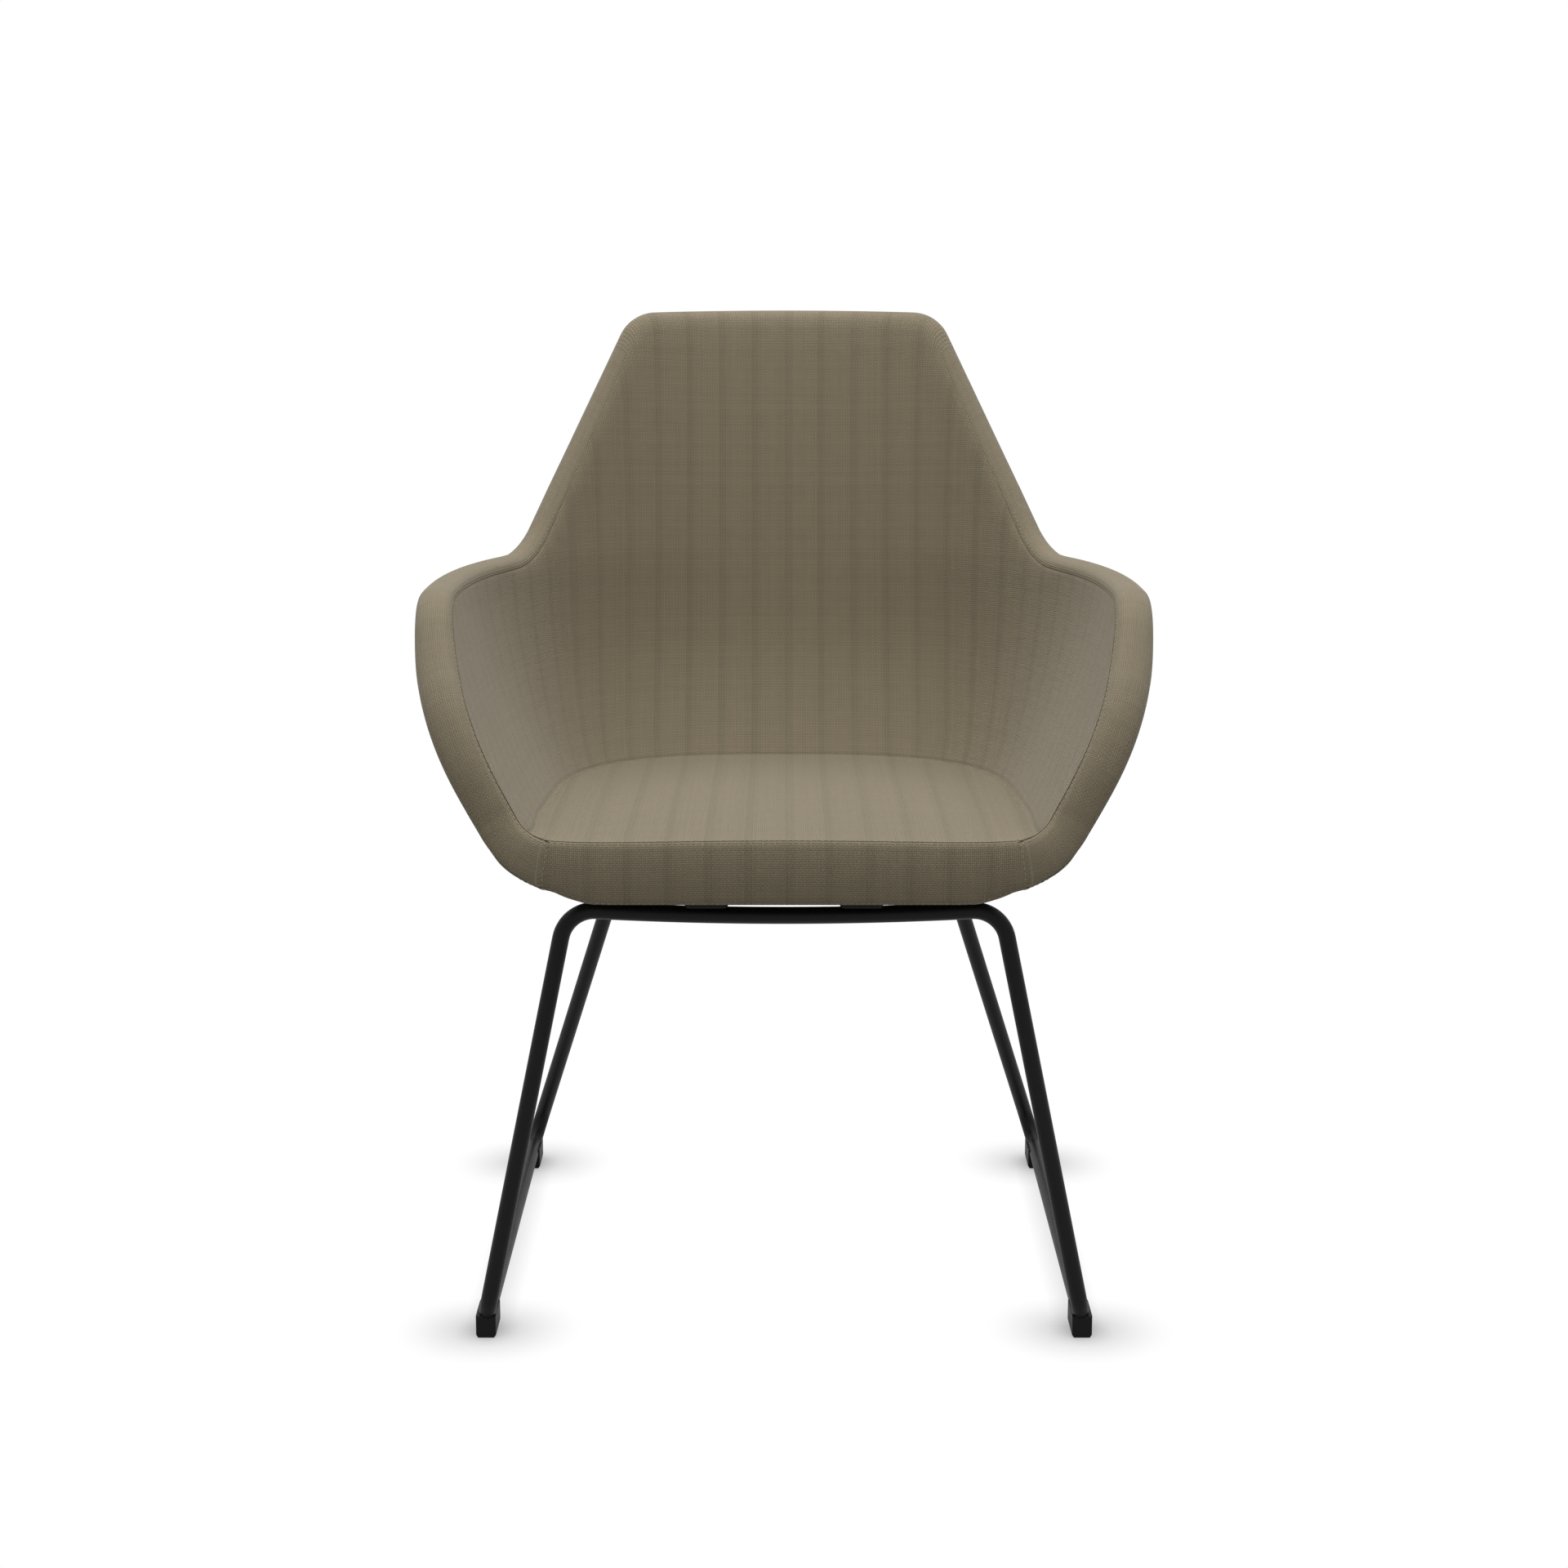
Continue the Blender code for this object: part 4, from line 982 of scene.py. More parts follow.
def closed_piece(name: str, face: np.ndarray, back: np.ndarray, cloth: np.ndarray, material: bpy.types.Material,
                 kept: Callable[[int, int], bool] | None = None) -> bpy.types.Object:
    """A closed piece between two grids of points.

    Args:
        name: Name of the object.
        face: Grid of the outside.
        back: Grid of the inside.
        cloth: Position of each point in the flat cloth, in metres.
        material: The cover.
        kept: Tells whether the cell at a column and row is made.

    Returns:
        The object, linked to the scene.
    """
    columns, rows = face.shape[:2]
    quads, border = [], {}
    for i in range(columns - 1):
        for j in range(rows - 1):
            if kept is not None and not kept(i, j):
                continue
            ring = (i * rows + j, (i + 1) * rows + j, (i + 1) * rows + j + 1, i * rows + j + 1)
            quads.append(ring)
            for a, b in zip(ring, ring[1:] + ring[:1]):
                if border.pop((b, a), None) is None:
                    border[a, b] = True
    count = columns * rows
    inside = [tuple(k + count for k in ring[::-1]) for ring in quads]
    points = face.reshape(-1, 3)
    walls = [(b, a, a + count, b + count) for a, b in border
             if max(abs(points[a, 0]), abs(points[b, 0])) > SAME_POINT]
    mesh = bpy.data.meshes.new(name)
    mesh.from_pydata(np.vstack([points, back.reshape(-1, 3)]).tolist(), [], quads + inside + walls)
    corner = np.empty(len(mesh.loops), np.int32)
    mesh.loops.foreach_get("vertex_index", corner)
    places = mesh.uv_layers.new(name=UV_NAME)
    places.data.foreach_set("uv", cloth.reshape(-1, 2)[corner % count].astype(np.float32).ravel())
    mesh.materials.append(material)
    bm = bmesh.new()
    bm.from_mesh(mesh)
    wall = bm.faces.layers.int.new("wall")
    for ring in list(bm.faces)[2 * len(quads):]:
        ring[wall] = 1
    bmesh.ops.delete(bm, geom=[v for v in bm.verts if not v.link_faces], context="VERTS")
    bmesh.ops.remove_doubles(bm, verts=bm.verts, dist=SAME_POINT)
    for edge in bm.edges:
        sides = {ring[wall] for ring in edge.link_faces}
        edge.smooth = len(sides) < 2 and edge.calc_face_angle(0.0) < SHARP_TURN
    bm.faces.layers.int.remove(wall)
    bm.to_mesh(mesh)
    bm.free()
    mesh.shade_smooth()
    return linked(name, mesh)


@dataclass(frozen=True)
class FoamFill:
    """Foam that swells a sewn cover between its seams, found with a cloth simulation."""

    pressure: float = 4.0
    spacing: float = 0.012
    least_rows: int = 6
    frames: int = 20

    def swell(self, face: np.ndarray, most: float, open_start: bool = False) -> np.ndarray:
        """How far the foam lifts each point of a cover.

        Args:
            face: Grid of the cover.
            most: Largest lift.
            open_start: Whether the first row is loose, not sewn.

        Returns:
            The lift along the normal at each point.
        """
        column_run = run_along(face, 0).mean(axis=1)
        row_run = run_along(face, 1).max(axis=0)
        columns = np.linspace(0, column_run[-1], math.ceil(column_run[-1] / self.spacing) + 1)
        rows = np.linspace(0, row_run[-1], max(self.least_rows, math.ceil(row_run[-1] / self.spacing)) + 1)
        coarse = sampled(face, number_at(columns, column_run), number_at(rows, row_run))
        pinned = np.zeros(coarse.shape[:2], bool)
        pinned[[0, -1]] = True
        pinned[:, -1] = True
        pinned[:, 0] = not open_start
        lift = ((self._press(coarse, pinned) - coarse) * normals_of(coarse)).sum(axis=-1)
        lift = np.maximum((lift + lift[::-1]) / 2, 0.0)
        lift *= most / max(lift.max(), most)
        return self._evened(sampled(lift, number_at(column_run, columns), number_at(row_run, rows)))

    @staticmethod
    def _evened(values: np.ndarray, passes: int = 12) -> np.ndarray:
        """Values averaged with their neighbours, the border kept."""
        for _ in range(passes):
            values = values.copy()
            values[1:-1] = (values[:-2] + 2 * values[1:-1] + values[2:]) / 4
            values[:, 1:-1] = (values[:, :-2] + 2 * values[:, 1:-1] + values[:, 2:]) / 4
        return values

    def _press(self, grid: np.ndarray, pinned: np.ndarray) -> np.ndarray:
        """Runs the cloth under pressure.

        Args:
            grid: The cover at rest.
            pinned: Which of its points are sewn down.

        Returns:
            The swollen grid.
        """
        columns, rows = grid.shape[:2]
        number = np.arange(columns * rows).reshape(columns, rows)
        quads = np.stack([number[:-1, :-1], number[1:, :-1], number[1:, 1:], number[:-1, 1:]], axis=-1)
        mesh = bpy.data.meshes.new("pressed_cover")
        mesh.from_pydata(grid.reshape(-1, 3).tolist(), [], quads.reshape(-1, 4).tolist())
        obj = linked("pressed_cover", mesh)
        obj.vertex_groups.new(name="sewn").add(number[pinned].tolist(), 1.0, "REPLACE")
        cloth = obj.modifiers.new("foam", "CLOTH")
        cloth.settings.use_pressure = True
        cloth.settings.uniform_pressure_force = self.pressure
        cloth.settings.effector_weights.gravity = 0.0
        cloth.settings.vertex_group_mass = "sewn"
        cloth.collision_settings.use_collision = False
        for step in range(1, self.frames + 1):
            bpy.context.scene.frame_set(step)
        swollen = obj.evaluated_get(bpy.context.evaluated_depsgraph_get()).data
        moved = np.empty(len(swollen.vertices) * 3, np.float32)
        swollen.vertices.foreach_get("co", moved)
        bpy.data.objects.remove(obj)
        bpy.data.meshes.remove(mesh)
        bpy.context.scene.frame_set(1)
        return moved.reshape(grid.shape).astype(float)


@dataclass(frozen=True)
class Sewing:
    """Seams and top stitching."""

    seam_depth: float = 0.0008
    seam_width: float = 0.0019
    stitch_depth: float = 0.0003
    stitch_width: float = 0.0012
    stitch_pitch: float = 0.0046
    stitch_length: float = 0.0036
    thread: float = 0.0008
    thread_rise: float = 0.15

    def pulled_in(self, distance: np.ndarray) -> np.ndarray:
        """Share of a seam's depth at a distance from it."""
        return dip(distance, self.seam_width)

    def pull(self, seam: np.ndarray, distance: np.ndarray) -> np.ndarray:
        """Pull on each point at a distance from a seam, from the pull on each column at the seam itself."""
        return seam[:, None] * self.pulled_in(distance)[..., None]

    def stitched_in(self, distance: np.ndarray, at: float) -> np.ndarray:
        """Depth of the dip under a row of top stitches."""
        return self.stitch_depth * dip(distance - at, self.stitch_width)


@dataclass
class ThreadLine:
    """A line of top stitches on a cover."""

    points: np.ndarray
    ups: np.ndarray


@dataclass
class Upholstery:
    """Covers of the tub: seat, lining, edge rolls, front roll, outside and underside, with their stitching."""

    tub: TubSurface
    finishes: Finishes
    sewing: Sewing = Sewing()
    foam: FoamFill = FoamFill()
    seat_lift: float = 0.0035
    lining_lift: float = 0.0030
    roll_lift: float = 0.0008
    lining_rounding: float = 0.080
    roll_rounding: float = 0.030
    seam_start: float = 0.100
    seam_fade: float = 0.170
    corner_seam_width: float = 0.181
    panel_share: float = 0.80
    loose_share: float = 0.2
    middle_share: float = 0.05
    front_ease: float = 0.05
    short_wall: float = 0.03
    cushion_fill: float = 0.85
    roll_fill: float = 0.95
    stitch_start: float = 0.4
    front_line_share: float = 0.965
    front_reach: float = 0.008
    end_columns: int = 4
    seat_stitch: float = 0.0042
    front_stitch: float = 0.0026
    rim_stitch: float = 0.0030
    nut_clearance: float = 0.003
    nut_hole: float = 0.017
    lines: list[ThreadLine] = field(default_factory=list)

    def __post_init__(self) -> None:
        """Finds how each seam is pulled in."""
        tub, last = self.tub, self.tub.last
        depth = self.sewing.seam_depth
        top = tub.top_corner()
        below = tub.edge_run[:last + 1] - tub.edge_run[top]
        self.rim_weight = smooth((below - self.seam_start) / self.seam_fade)
        self.rim_pull = unit(tub.wall_out[:, -1] - tub.edge_out[:last + 1]) * depth * self.rim_weight[:, None]
        self.foot_pull = unit(tub.foot_out - UP) * depth
        rows = len(tub.shares)
        self.front_pull = unit(tub.seat_out[-1] - tub.edge_out[-rows:][::-1]) * depth
        self.outer_pull = -unit(tub.chord + tub.edge_out) * depth
        lip = np.repeat(self.rim_pull[-1:], len(tub.edge_inner) - len(self.rim_pull) - rows, axis=0)
        self.inner_pull = np.vstack([self.rim_pull, lip, self.front_pull[::-1]])
        near_front = np.where(tub.edge_inner[:, 1] < tub.form.front_flat, tub.edge_inner[:, 0], np.inf)
        self.corner = int(np.argmin(np.abs(near_front - self.corner_seam_width)))

    def finish(self, obj: bpy.types.Object, slot: str, fill: float, *nodes: str) -> None:
        """Puts a padded piece on the chair.

        Args:
            obj: The piece.
            slot: Not used.
            fill: Not used.
            nodes: The CAD nodes that it stands for.
        """
        put_on(obj, slot, *nodes)

    def add_line(self, face: np.ndarray, walk: np.ndarray, columns: range, at: float) -> None:
        """Notes a line of stitches at a distance along the rows of a cover.

        Args:
            face: Grid of the cover.
            walk: Its row numbers, walked from the seam.
            columns: The columns that the line crosses.
            at: Distance of the line from the seam.
        """
        normals = normals_of(face)
        points, ups = [], []
        for i in columns:
            run = run_along(face[i, walk], 0)
            points.append(value_at(at, run, face[i, walk]))
            ups.append(value_at(at, run, normals[i, walk]))
        self.lines.append(ThreadLine(np.array(points), unit(np.array(ups))))

    def build_seat(self) -> None:
        """The crowned seat cushion, sewn to the wall and to the front roll."""
        tub, sewing = self.tub, self.sewing
        face = tub.seat_face()
        start = int(np.searchsorted(tub.shares, self.loose_share))
        lift = np.zeros(face.shape[:2])
        lift[:, start:] = self.foam.swell(face[:, start:], self.seat_lift, open_start=True)
        middle = lift[:, start].mean()
        share = smooth(tub.shares[:start] / tub.shares[start])
        lift[:, :start] = middle + (lift[:, start:start + 1] - middle) * share
        from_front = face[..., 1] - tub.shift[1]
        lift *= smooth(from_front / self.front_ease)
        share = smooth(tub.shares / self.middle_share)[:, None]
        face = face + (normals_of(face) * share + UP * (1 - share)) * lift[..., None]
        run = run_along(face, 1)
        from_seam = run[:, -1:] - run
        front_pull = both_sides(np.repeat(self.front_pull[None], len(tub.columns), axis=0))
        pull = sewing.pull(both_sides(self.foot_pull), from_seam)
        pull = pull + front_pull * sewing.pulled_in(from_front)[..., None]
        depth = sewing.stitched_in(from_seam, self.seat_stitch) + sewing.stitched_in(from_front, self.front_stitch)
        face = face + pull - UP * depth[..., None]
        back = tub.seat_under(tub.form.liner_back + self.nut_clearance)
        seat = closed_piece("seat_cushion", face, back, face[..., :2] - tub.shift[:2], self.finishes.striped)
        reach, middle = int((tub.foot[:, 1] > self.front_reach).sum()), len(face) // 2
        from_wall = np.arange(face.shape[1])[::-1]
        self.add_line(face, from_wall, range(middle - reach + 1, middle + reach), self.seat_stitch)
        self._add_front_line(face)
        self.finish(seat, "striped_weave", self.cushion_fill, "seat_cover", "seat_foam")

    def _add_front_line(self, face: np.ndarray) -> None:
        """Notes the stitches behind the seat's front edge, from one corner to the other."""
        tub, half = self.tub, len(self.tub.columns)
        rows = np.nonzero(tub.shares < self.front_line_share)[0]
        points = []
        for side, order in ((face[:half], rows[::-1]), (face[:half - 2:-1], rows[1:])):
            for j in order:
                run = side[:, j, 1] - tub.shift[1]
                points.append(value_at(self.front_stitch, run, side[:, j]))
        self.lines.append(ThreadLine(np.array(points), np.tile(UP, (len(points), 1))))

    def _wall_runs(self) -> np.ndarray:
        """Place of each point of the wall across the flat cloth, from its middle."""
        return np.concatenate([-self.tub.wall_runs[:0:-1], self.tub.wall_runs])

    def build_lining(self) -> None:
        """The lining of back and arms, rolled over the top edge between the edge rolls."""
        tub, sewing, form = self.tub, self.sewing, self.tub.form
        wall = tub.wall_face()
        rim, wall_rows, top = len(tub.columns), tub.wall.shape[1], tub.top_corner()
        run = run_along(wall, 1)
        from_rim = run[:, -1:] - run
        seamed = both_sides(self.rim_weight, mirror=False)[:, None]
        lift = self.foam.swell(wall, self.lining_lift) * smooth(run[:, -1:] / self.short_wall)
        lift = lift * (seamed + (1 - seamed) * smooth(from_rim / self.lining_rounding))
        pull = sewing.pull(both_sides(self.foot_pull), run) + sewing.pull(both_sides(self.rim_pull), from_rim)
        bead = both_sides(tub.bead()[:rim])
        inner = tub.wall_outside(form.liner_back)
        outer = tub.wall_outside(form.outer_foam_back)[:, -1:]
        share = np.linspace(0, 1, bead.shape[1])[None, 1:, None]
        over_edge = inner[:, -1:] + (outer - inner[:, -1:]) * share
        face = np.concatenate([wall + normals_of(wall) * lift[..., None] + pull, bead[:, 1:]], axis=1)
        back = np.concatenate([inner, over_edge + both_sides(tub.edge_out[:rim])[:, None] * form.gap], axis=1)
        across = np.pad(self._wall_runs(), ((0, 0), (0, bead.shape[1] - 1)), "edge")
        cloth = np.dstack([across, run_along(face, 1)])
        middle = rim - 1
        lining = closed_piece("inner_lining", face, back, cloth, self.finishes.striped,
                              lambda i, j: j < wall_rows - 1 or middle - top <= i < middle + top)
        self.finish(lining, "striped_weave", self.cushion_fill, "inner_cover", "foam_liner")

    def _roll_cover(self, bead: np.ndarray, inner: np.ndarray, outer: np.ndarray, end: np.ndarray,
                    rise: np.ndarray) -> np.ndarray:
        """The cover of a roll, pulled in at the seams all round it.

        Args:
            bead: Grid of the padded edge.
            inner: Pull of the seam along its inner side.
            outer: Pull of the seam along its outer side.
            end: Distance of each column from the seams at its ends.
            rise: Lift of its foam, less the dips of its stitches.

        Returns:
            Grid of the cover.
        """
        run = run_along(bead, 1)
        pull = self.sewing.pull(inner, run) + self.sewing.pull(outer, run[:, -1:] - run)
        sunk = self.sewing.seam_depth * self.sewing.pulled_in(end)[:, None]
        return bead + normals_of(bead) * (rise - sunk)[..., None] + pull

    def build_edge_rolls(self) -> None:
        """The plain rolls along arms and back, from the seat's front corners to the top corners."""
        tub = self.tub
        part = slice(tub.top_corner(), self.corner + 1)
        bead, seat, along = tub.bead()[part], tub.bead_seat()[part], tub.edge_run[part]
        run = run_along(bead, 1)
        weight = np.ones(len(tub.edge_inner))
        weight[:len(self.rim_weight)] = self.rim_weight
        weight = weight[part][:, None]
        lift = self.foam.swell(bead, self.roll_lift) * (weight + (1 - weight) * smooth(run / self.roll_rounding))
        rise = lift - self.sewing.stitched_in(run, self.rim_stitch) * weight
        right = self._roll_cover(bead, self.inner_pull[part], self.outer_pull[part], along[-1] - along, rise)
        cloth = np.dstack([np.repeat(along[:, None], run.shape[1], axis=1), run])
        first = int(np.argmax(weight[:, 0] > self.stitch_start))
        sides = {"right": (right, seat, cloth, range(first, len(right))),
                 "left": (right[::-1] * MIRROR, seat[::-1] * MIRROR, cloth[::-1], range(len(right) - first))}
        for side, (face, back, place, columns) in sides.items():
            roll = closed_piece(f"{side}_edge_roll", face, back, place, self.finishes.plain)
            self.add_line(face, np.arange(run.shape[1]), columns, self.rim_stitch)
            self.finish(roll, "plain_weave", self.roll_fill, f"edge_band_{side}")

    def build_front_roll(self) -> None:
        """The roll across the front edge of the seat."""
        tub, sewing = self.tub, self.sewing
        halves = (grid[self.corner:] for grid in (tub.bead(), tub.bead_seat(), self.inner_pull, self.outer_pull))
        bead, seat, inner, outer = (np.concatenate([half, half[-2::-1] * MIRROR]) for half in halves)
        run, along = run_along(bead, 1), run_along(bead[:, 0], 0)
        dips = sewing.stitched_in(run, self.front_stitch) + sewing.stitched_in(run[:, -1:] - run, self.rim_stitch)
        rise = self.foam.swell(bead, self.roll_lift) - dips
        face = self._roll_cover(bead, inner, outer, np.minimum(along, along[-1] - along), rise)
        roll = closed_piece("front_edge_roll", face, seat, np.dstack([face[..., 0], run]), self.finishes.striped)
        rows, columns = np.arange(run.shape[1]), np.arange(len(face))
        self.add_line(face, rows, range(len(columns)), self.front_stitch)
        self.add_line(face, rows[::-1], range(len(columns)), self.rim_stitch)
        for from_end in (columns, columns[::-1]):
            self.add_line(face.swapaxes(0, 1), from_end, range(1, len(rows) - 1), self.front_stitch)
        self.finish(roll, "striped_weave", self.roll_fill, "front_band", "front_roll")

    def build_outside(self) -> None:
        """The cover of the tub's outside and the panel under the seat, with a seam between them."""
        tub, sewing, form = self.tub, self.sewing, self.tub.form
        wall, wall_back = (tub.wall_outside(d)[:, ::-1] for d in (0.0, form.outer_foam_back))
        under, under_back = (tub.seat_under(d)[:, ::-1] for d in (0.0, form.outer_foam_back))
        cut = under.shape[1] - int(np.argmin(np.abs(tub.shares - self.panel_share)))
        face = np.concatenate([wall, under[:, 1:cut]], axis=1)
        back = np.concatenate([wall_back, under_back[:, 1:cut]], axis=1)
        run = run_along(face, 1)
        sunk = sewing.seam_depth * sewing.pulled_in(run[:, -1:] - run) + sewing.stitched_in(run, self.rim_stitch)
        pull = sewing.pull(both_sides(self.outer_pull[:len(tub.columns)]), run)
        cover = face + pull - normals_of(face) * sunk[..., None]
        across = np.pad(self._wall_runs()[:, ::-1], ((0, 0), (0, cut - 1)), "edge")
        outside = closed_piece("outside_cover", cover, back, np.dstack([across, -run]), self.finishes.striped)
        self.finish(outside, "striped_weave", self.roll_fill, "outer_cover", "outer_padding")
        rows = np.arange(face.shape[1])
        for from_seam in (rows, rows[::-1]):
            self.add_line(cover, from_seam, range(self.end_columns, len(face) - self.end_columns), self.rim_stitch)

        face, back = under[:, cut - 1:], under_back[:, cut - 1:]
        face = face + UP * (sewing.seam_depth * sewing.pulled_in(run_along(face, 1)))[..., None]
        panel = closed_piece("underside_panel", face, back, face[..., :2] - tub.shift[:2], self.finishes.plain)
        self.finish(panel, "plain_weave", self.roll_fill, "outer_cover", "outer_padding")

    def build_core(self) -> None:
        """The moulded shell between the layers, with holes round the fastenings."""
        tub, form = self.tub, self.tub.form
        sides = []
        for depth in (form.core_face, form.core_back):
            sides.append(np.concatenate([tub.wall_outside(depth)[:, ::-1], tub.seat_under(depth)[:, -2::-1]], axis=1))
        boxes = [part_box(name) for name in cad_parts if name.startswith("tee_nut")]
        nuts = np.array([((low + high) / 2)[:2] for low, high in boxes])
        middle = (sides[0][:-1, :-1] + sides[0][1:, 1:]) / 2
        away = np.linalg.norm(middle[:, :, None, :2] - nuts, axis=-1).min(axis=-1)
        free = (away > self.nut_hole) | (middle[..., 2] > form.seat_height)
        cloth = np.dstack([sides[0][..., 0], run_along(sides[0], 1)])
        core = closed_piece("moulded_shell", *sides, cloth, self.finishes.board, lambda i, j: bool(free[i, j]))
        put_on(core, "moulded_shell", "shell_core")

    def build_stitching(self) -> None:
        """All top stitches, as short turns of thread along the noted lines."""
        sewing, points, ups, edges = self.sewing, [], [], []
        for line in self.lines:
            start = len(points)
            points += (line.points + line.ups * sewing.thread * sewing.thread_rise).tolist()
            ups += line.ups.tolist()
            edges += [(k, k + 1) for k in range(start, len(points) - 1)]
        mesh = bpy.data.meshes.new("top_stitching")
        mesh.from_pydata(points, edges, [])
        mesh.attributes.new("up", "FLOAT_VECTOR", "POINT").data.foreach_set("vector", np.array(ups).ravel())
        sizes = {"Pitch": sewing.stitch_pitch, "Length": sewing.stitch_length, "Thread": sewing.thread,
                 "Finish": self.finishes.thread}
        put_on(grown("top_stitching", mesh, stitch_tree(), sizes), "striped_weave")

    def build(self) -> None:
        """Builds every cover, then the stitches on them."""
        self.build_seat()
        self.build_lining()
        self.build_edge_rolls()
        self.build_front_roll()
        self.build_outside()
        self.build_core()
        self.build_stitching()


# Pieces grown along paths

def geometry_tree(name: str, sizes: dict[str, str]) -> tuple[Bench, dict, dict]:
    """Starts a Geometry Nodes tree that takes a shape, a finish and sizes of the given types, and gives a shape."""
    shape = {"Geometry": "NodeSocketGeometry"}
    return new_group(name, "GeometryNodeTree", {**shape, **sizes, "Finish": "NodeSocketMaterial"}, shape)


def close_tree(bench: Bench, given: dict, end: dict, shape: Socket) -> bpy.types.NodeTree:
    """Ends a Geometry Nodes tree with smooth, real faces in the given finish."""
    real = bench.add("GeometryNodeRealizeInstances", {"Geometry": shape})
    even = bench.add("GeometryNodeSetShadeSmooth", {"Geometry": real.outputs[0]})
    dressed = bench.add("GeometryNodeSetMaterial", {"Geometry": even.outputs[0], "Material": given["Finish"]})
    bench.feed(end["Geometry"], dressed.outputs[0])
    return bench.tree


def stitch_tree() -> bpy.types.NodeTree:
    """Stitches along lines: each is a short round turn of thread, flat on the cover."""
    bench, given, end = geometry_tree("top_stitches", dict.fromkeys(("Pitch", "Length", "Thread"), FLOAT))
    line = bench.add("GeometryNodeMeshToCurve", {"Mesh": given["Geometry"]})
    line = bench.add("GeometryNodeResampleCurve", {"Curve": line.outputs[0], "Length": given["Pitch"]}, mode="LENGTH")
    up = bench.add("GeometryNodeInputNamedAttribute", {"Name": "up"}, data_type="FLOAT_VECTOR")
    tangent = bench.add("GeometryNodeInputTangent")
    turn = bench.add("FunctionNodeAxesToRotation", {0: up.outputs[0], 1: tangent.outputs[0]}, primary_axis="Z",
                     secondary_axis="X")
    turn_of_thread = bench.add("GeometryNodeMeshUVSphere", {"Segments": 8, "Rings": 5, "Radius": 0.5})
    size = bench.add("ShaderNodeCombineXYZ", {0: given["Length"], 1: given["Thread"], 2: given["Thread"]})
    inputs = {"Points": line, "Instance": turn_of_thread, "Rotation": turn, "Scale": size}
    stitches = bench.add("GeometryNodeInstanceOnPoints", {name: node.outputs[0] for name, node in inputs.items()})
    return close_tree(bench, given, end, stitches.outputs[0])


def rod_tree() -> bpy.types.NodeTree:
    """A round rod along a path, thicker where the path's swell says so."""
    bench, given, end = geometry_tree("bent_rod", {"Radius": FLOAT, "Sides": "NodeSocketInt"})
    line = bench.add("GeometryNodeMeshToCurve", {"Mesh": given["Geometry"]})
    swell = bench.add("GeometryNodeInputNamedAttribute", {"Name": "swell"}, data_type="FLOAT")
    line = bench.add("GeometryNodeSetCurveRadius", {"Curve": line.outputs[0], "Radius": swell.outputs[0]})
    ring = bench.add("GeometryNodeCurvePrimitiveCircle", {"Resolution": given["Sides"], "Radius": given["Radius"]})
    rod = bench.add("GeometryNodeCurveToMesh", {"Curve": line.outputs[0], "Profile Curve": ring.outputs[0]})
    return close_tree(bench, given, end, rod.outputs[0])


def grown(name: str, guide: bpy.types.Mesh, tree: bpy.types.NodeTree, sizes: dict[str, object]) -> bpy.types.Object:
    """Grows a piece from a guide mesh with a Geometry Nodes tree, and keeps only its plain mesh.

    Args:
        name: Name of the piece.
        guide: The lines that it follows.
        tree: The tree.
        sizes: Values of the tree's named inputs.

    Returns:
        The piece, linked to the scene.
    """
    source = linked(name + "_guide", guide)
    modifier = source.modifiers.new("grown", "NODES")
    modifier.node_group = tree
    for socket in tree.interface.items_tree:
        if socket.in_out == "INPUT" and socket.name in sizes:
            modifier[socket.identifier] = sizes[socket.name]
    graph = bpy.context.evaluated_depsgraph_get()
    mesh = bpy.data.meshes.new_from_object(source.evaluated_get(graph), preserve_all_data_layers=True,
                                           depsgraph=graph)
    source.modifiers.clear()
    bpy.data.objects.remove(source)
    mesh.name = name
    return linked(name, mesh)


# Sled base and hardware

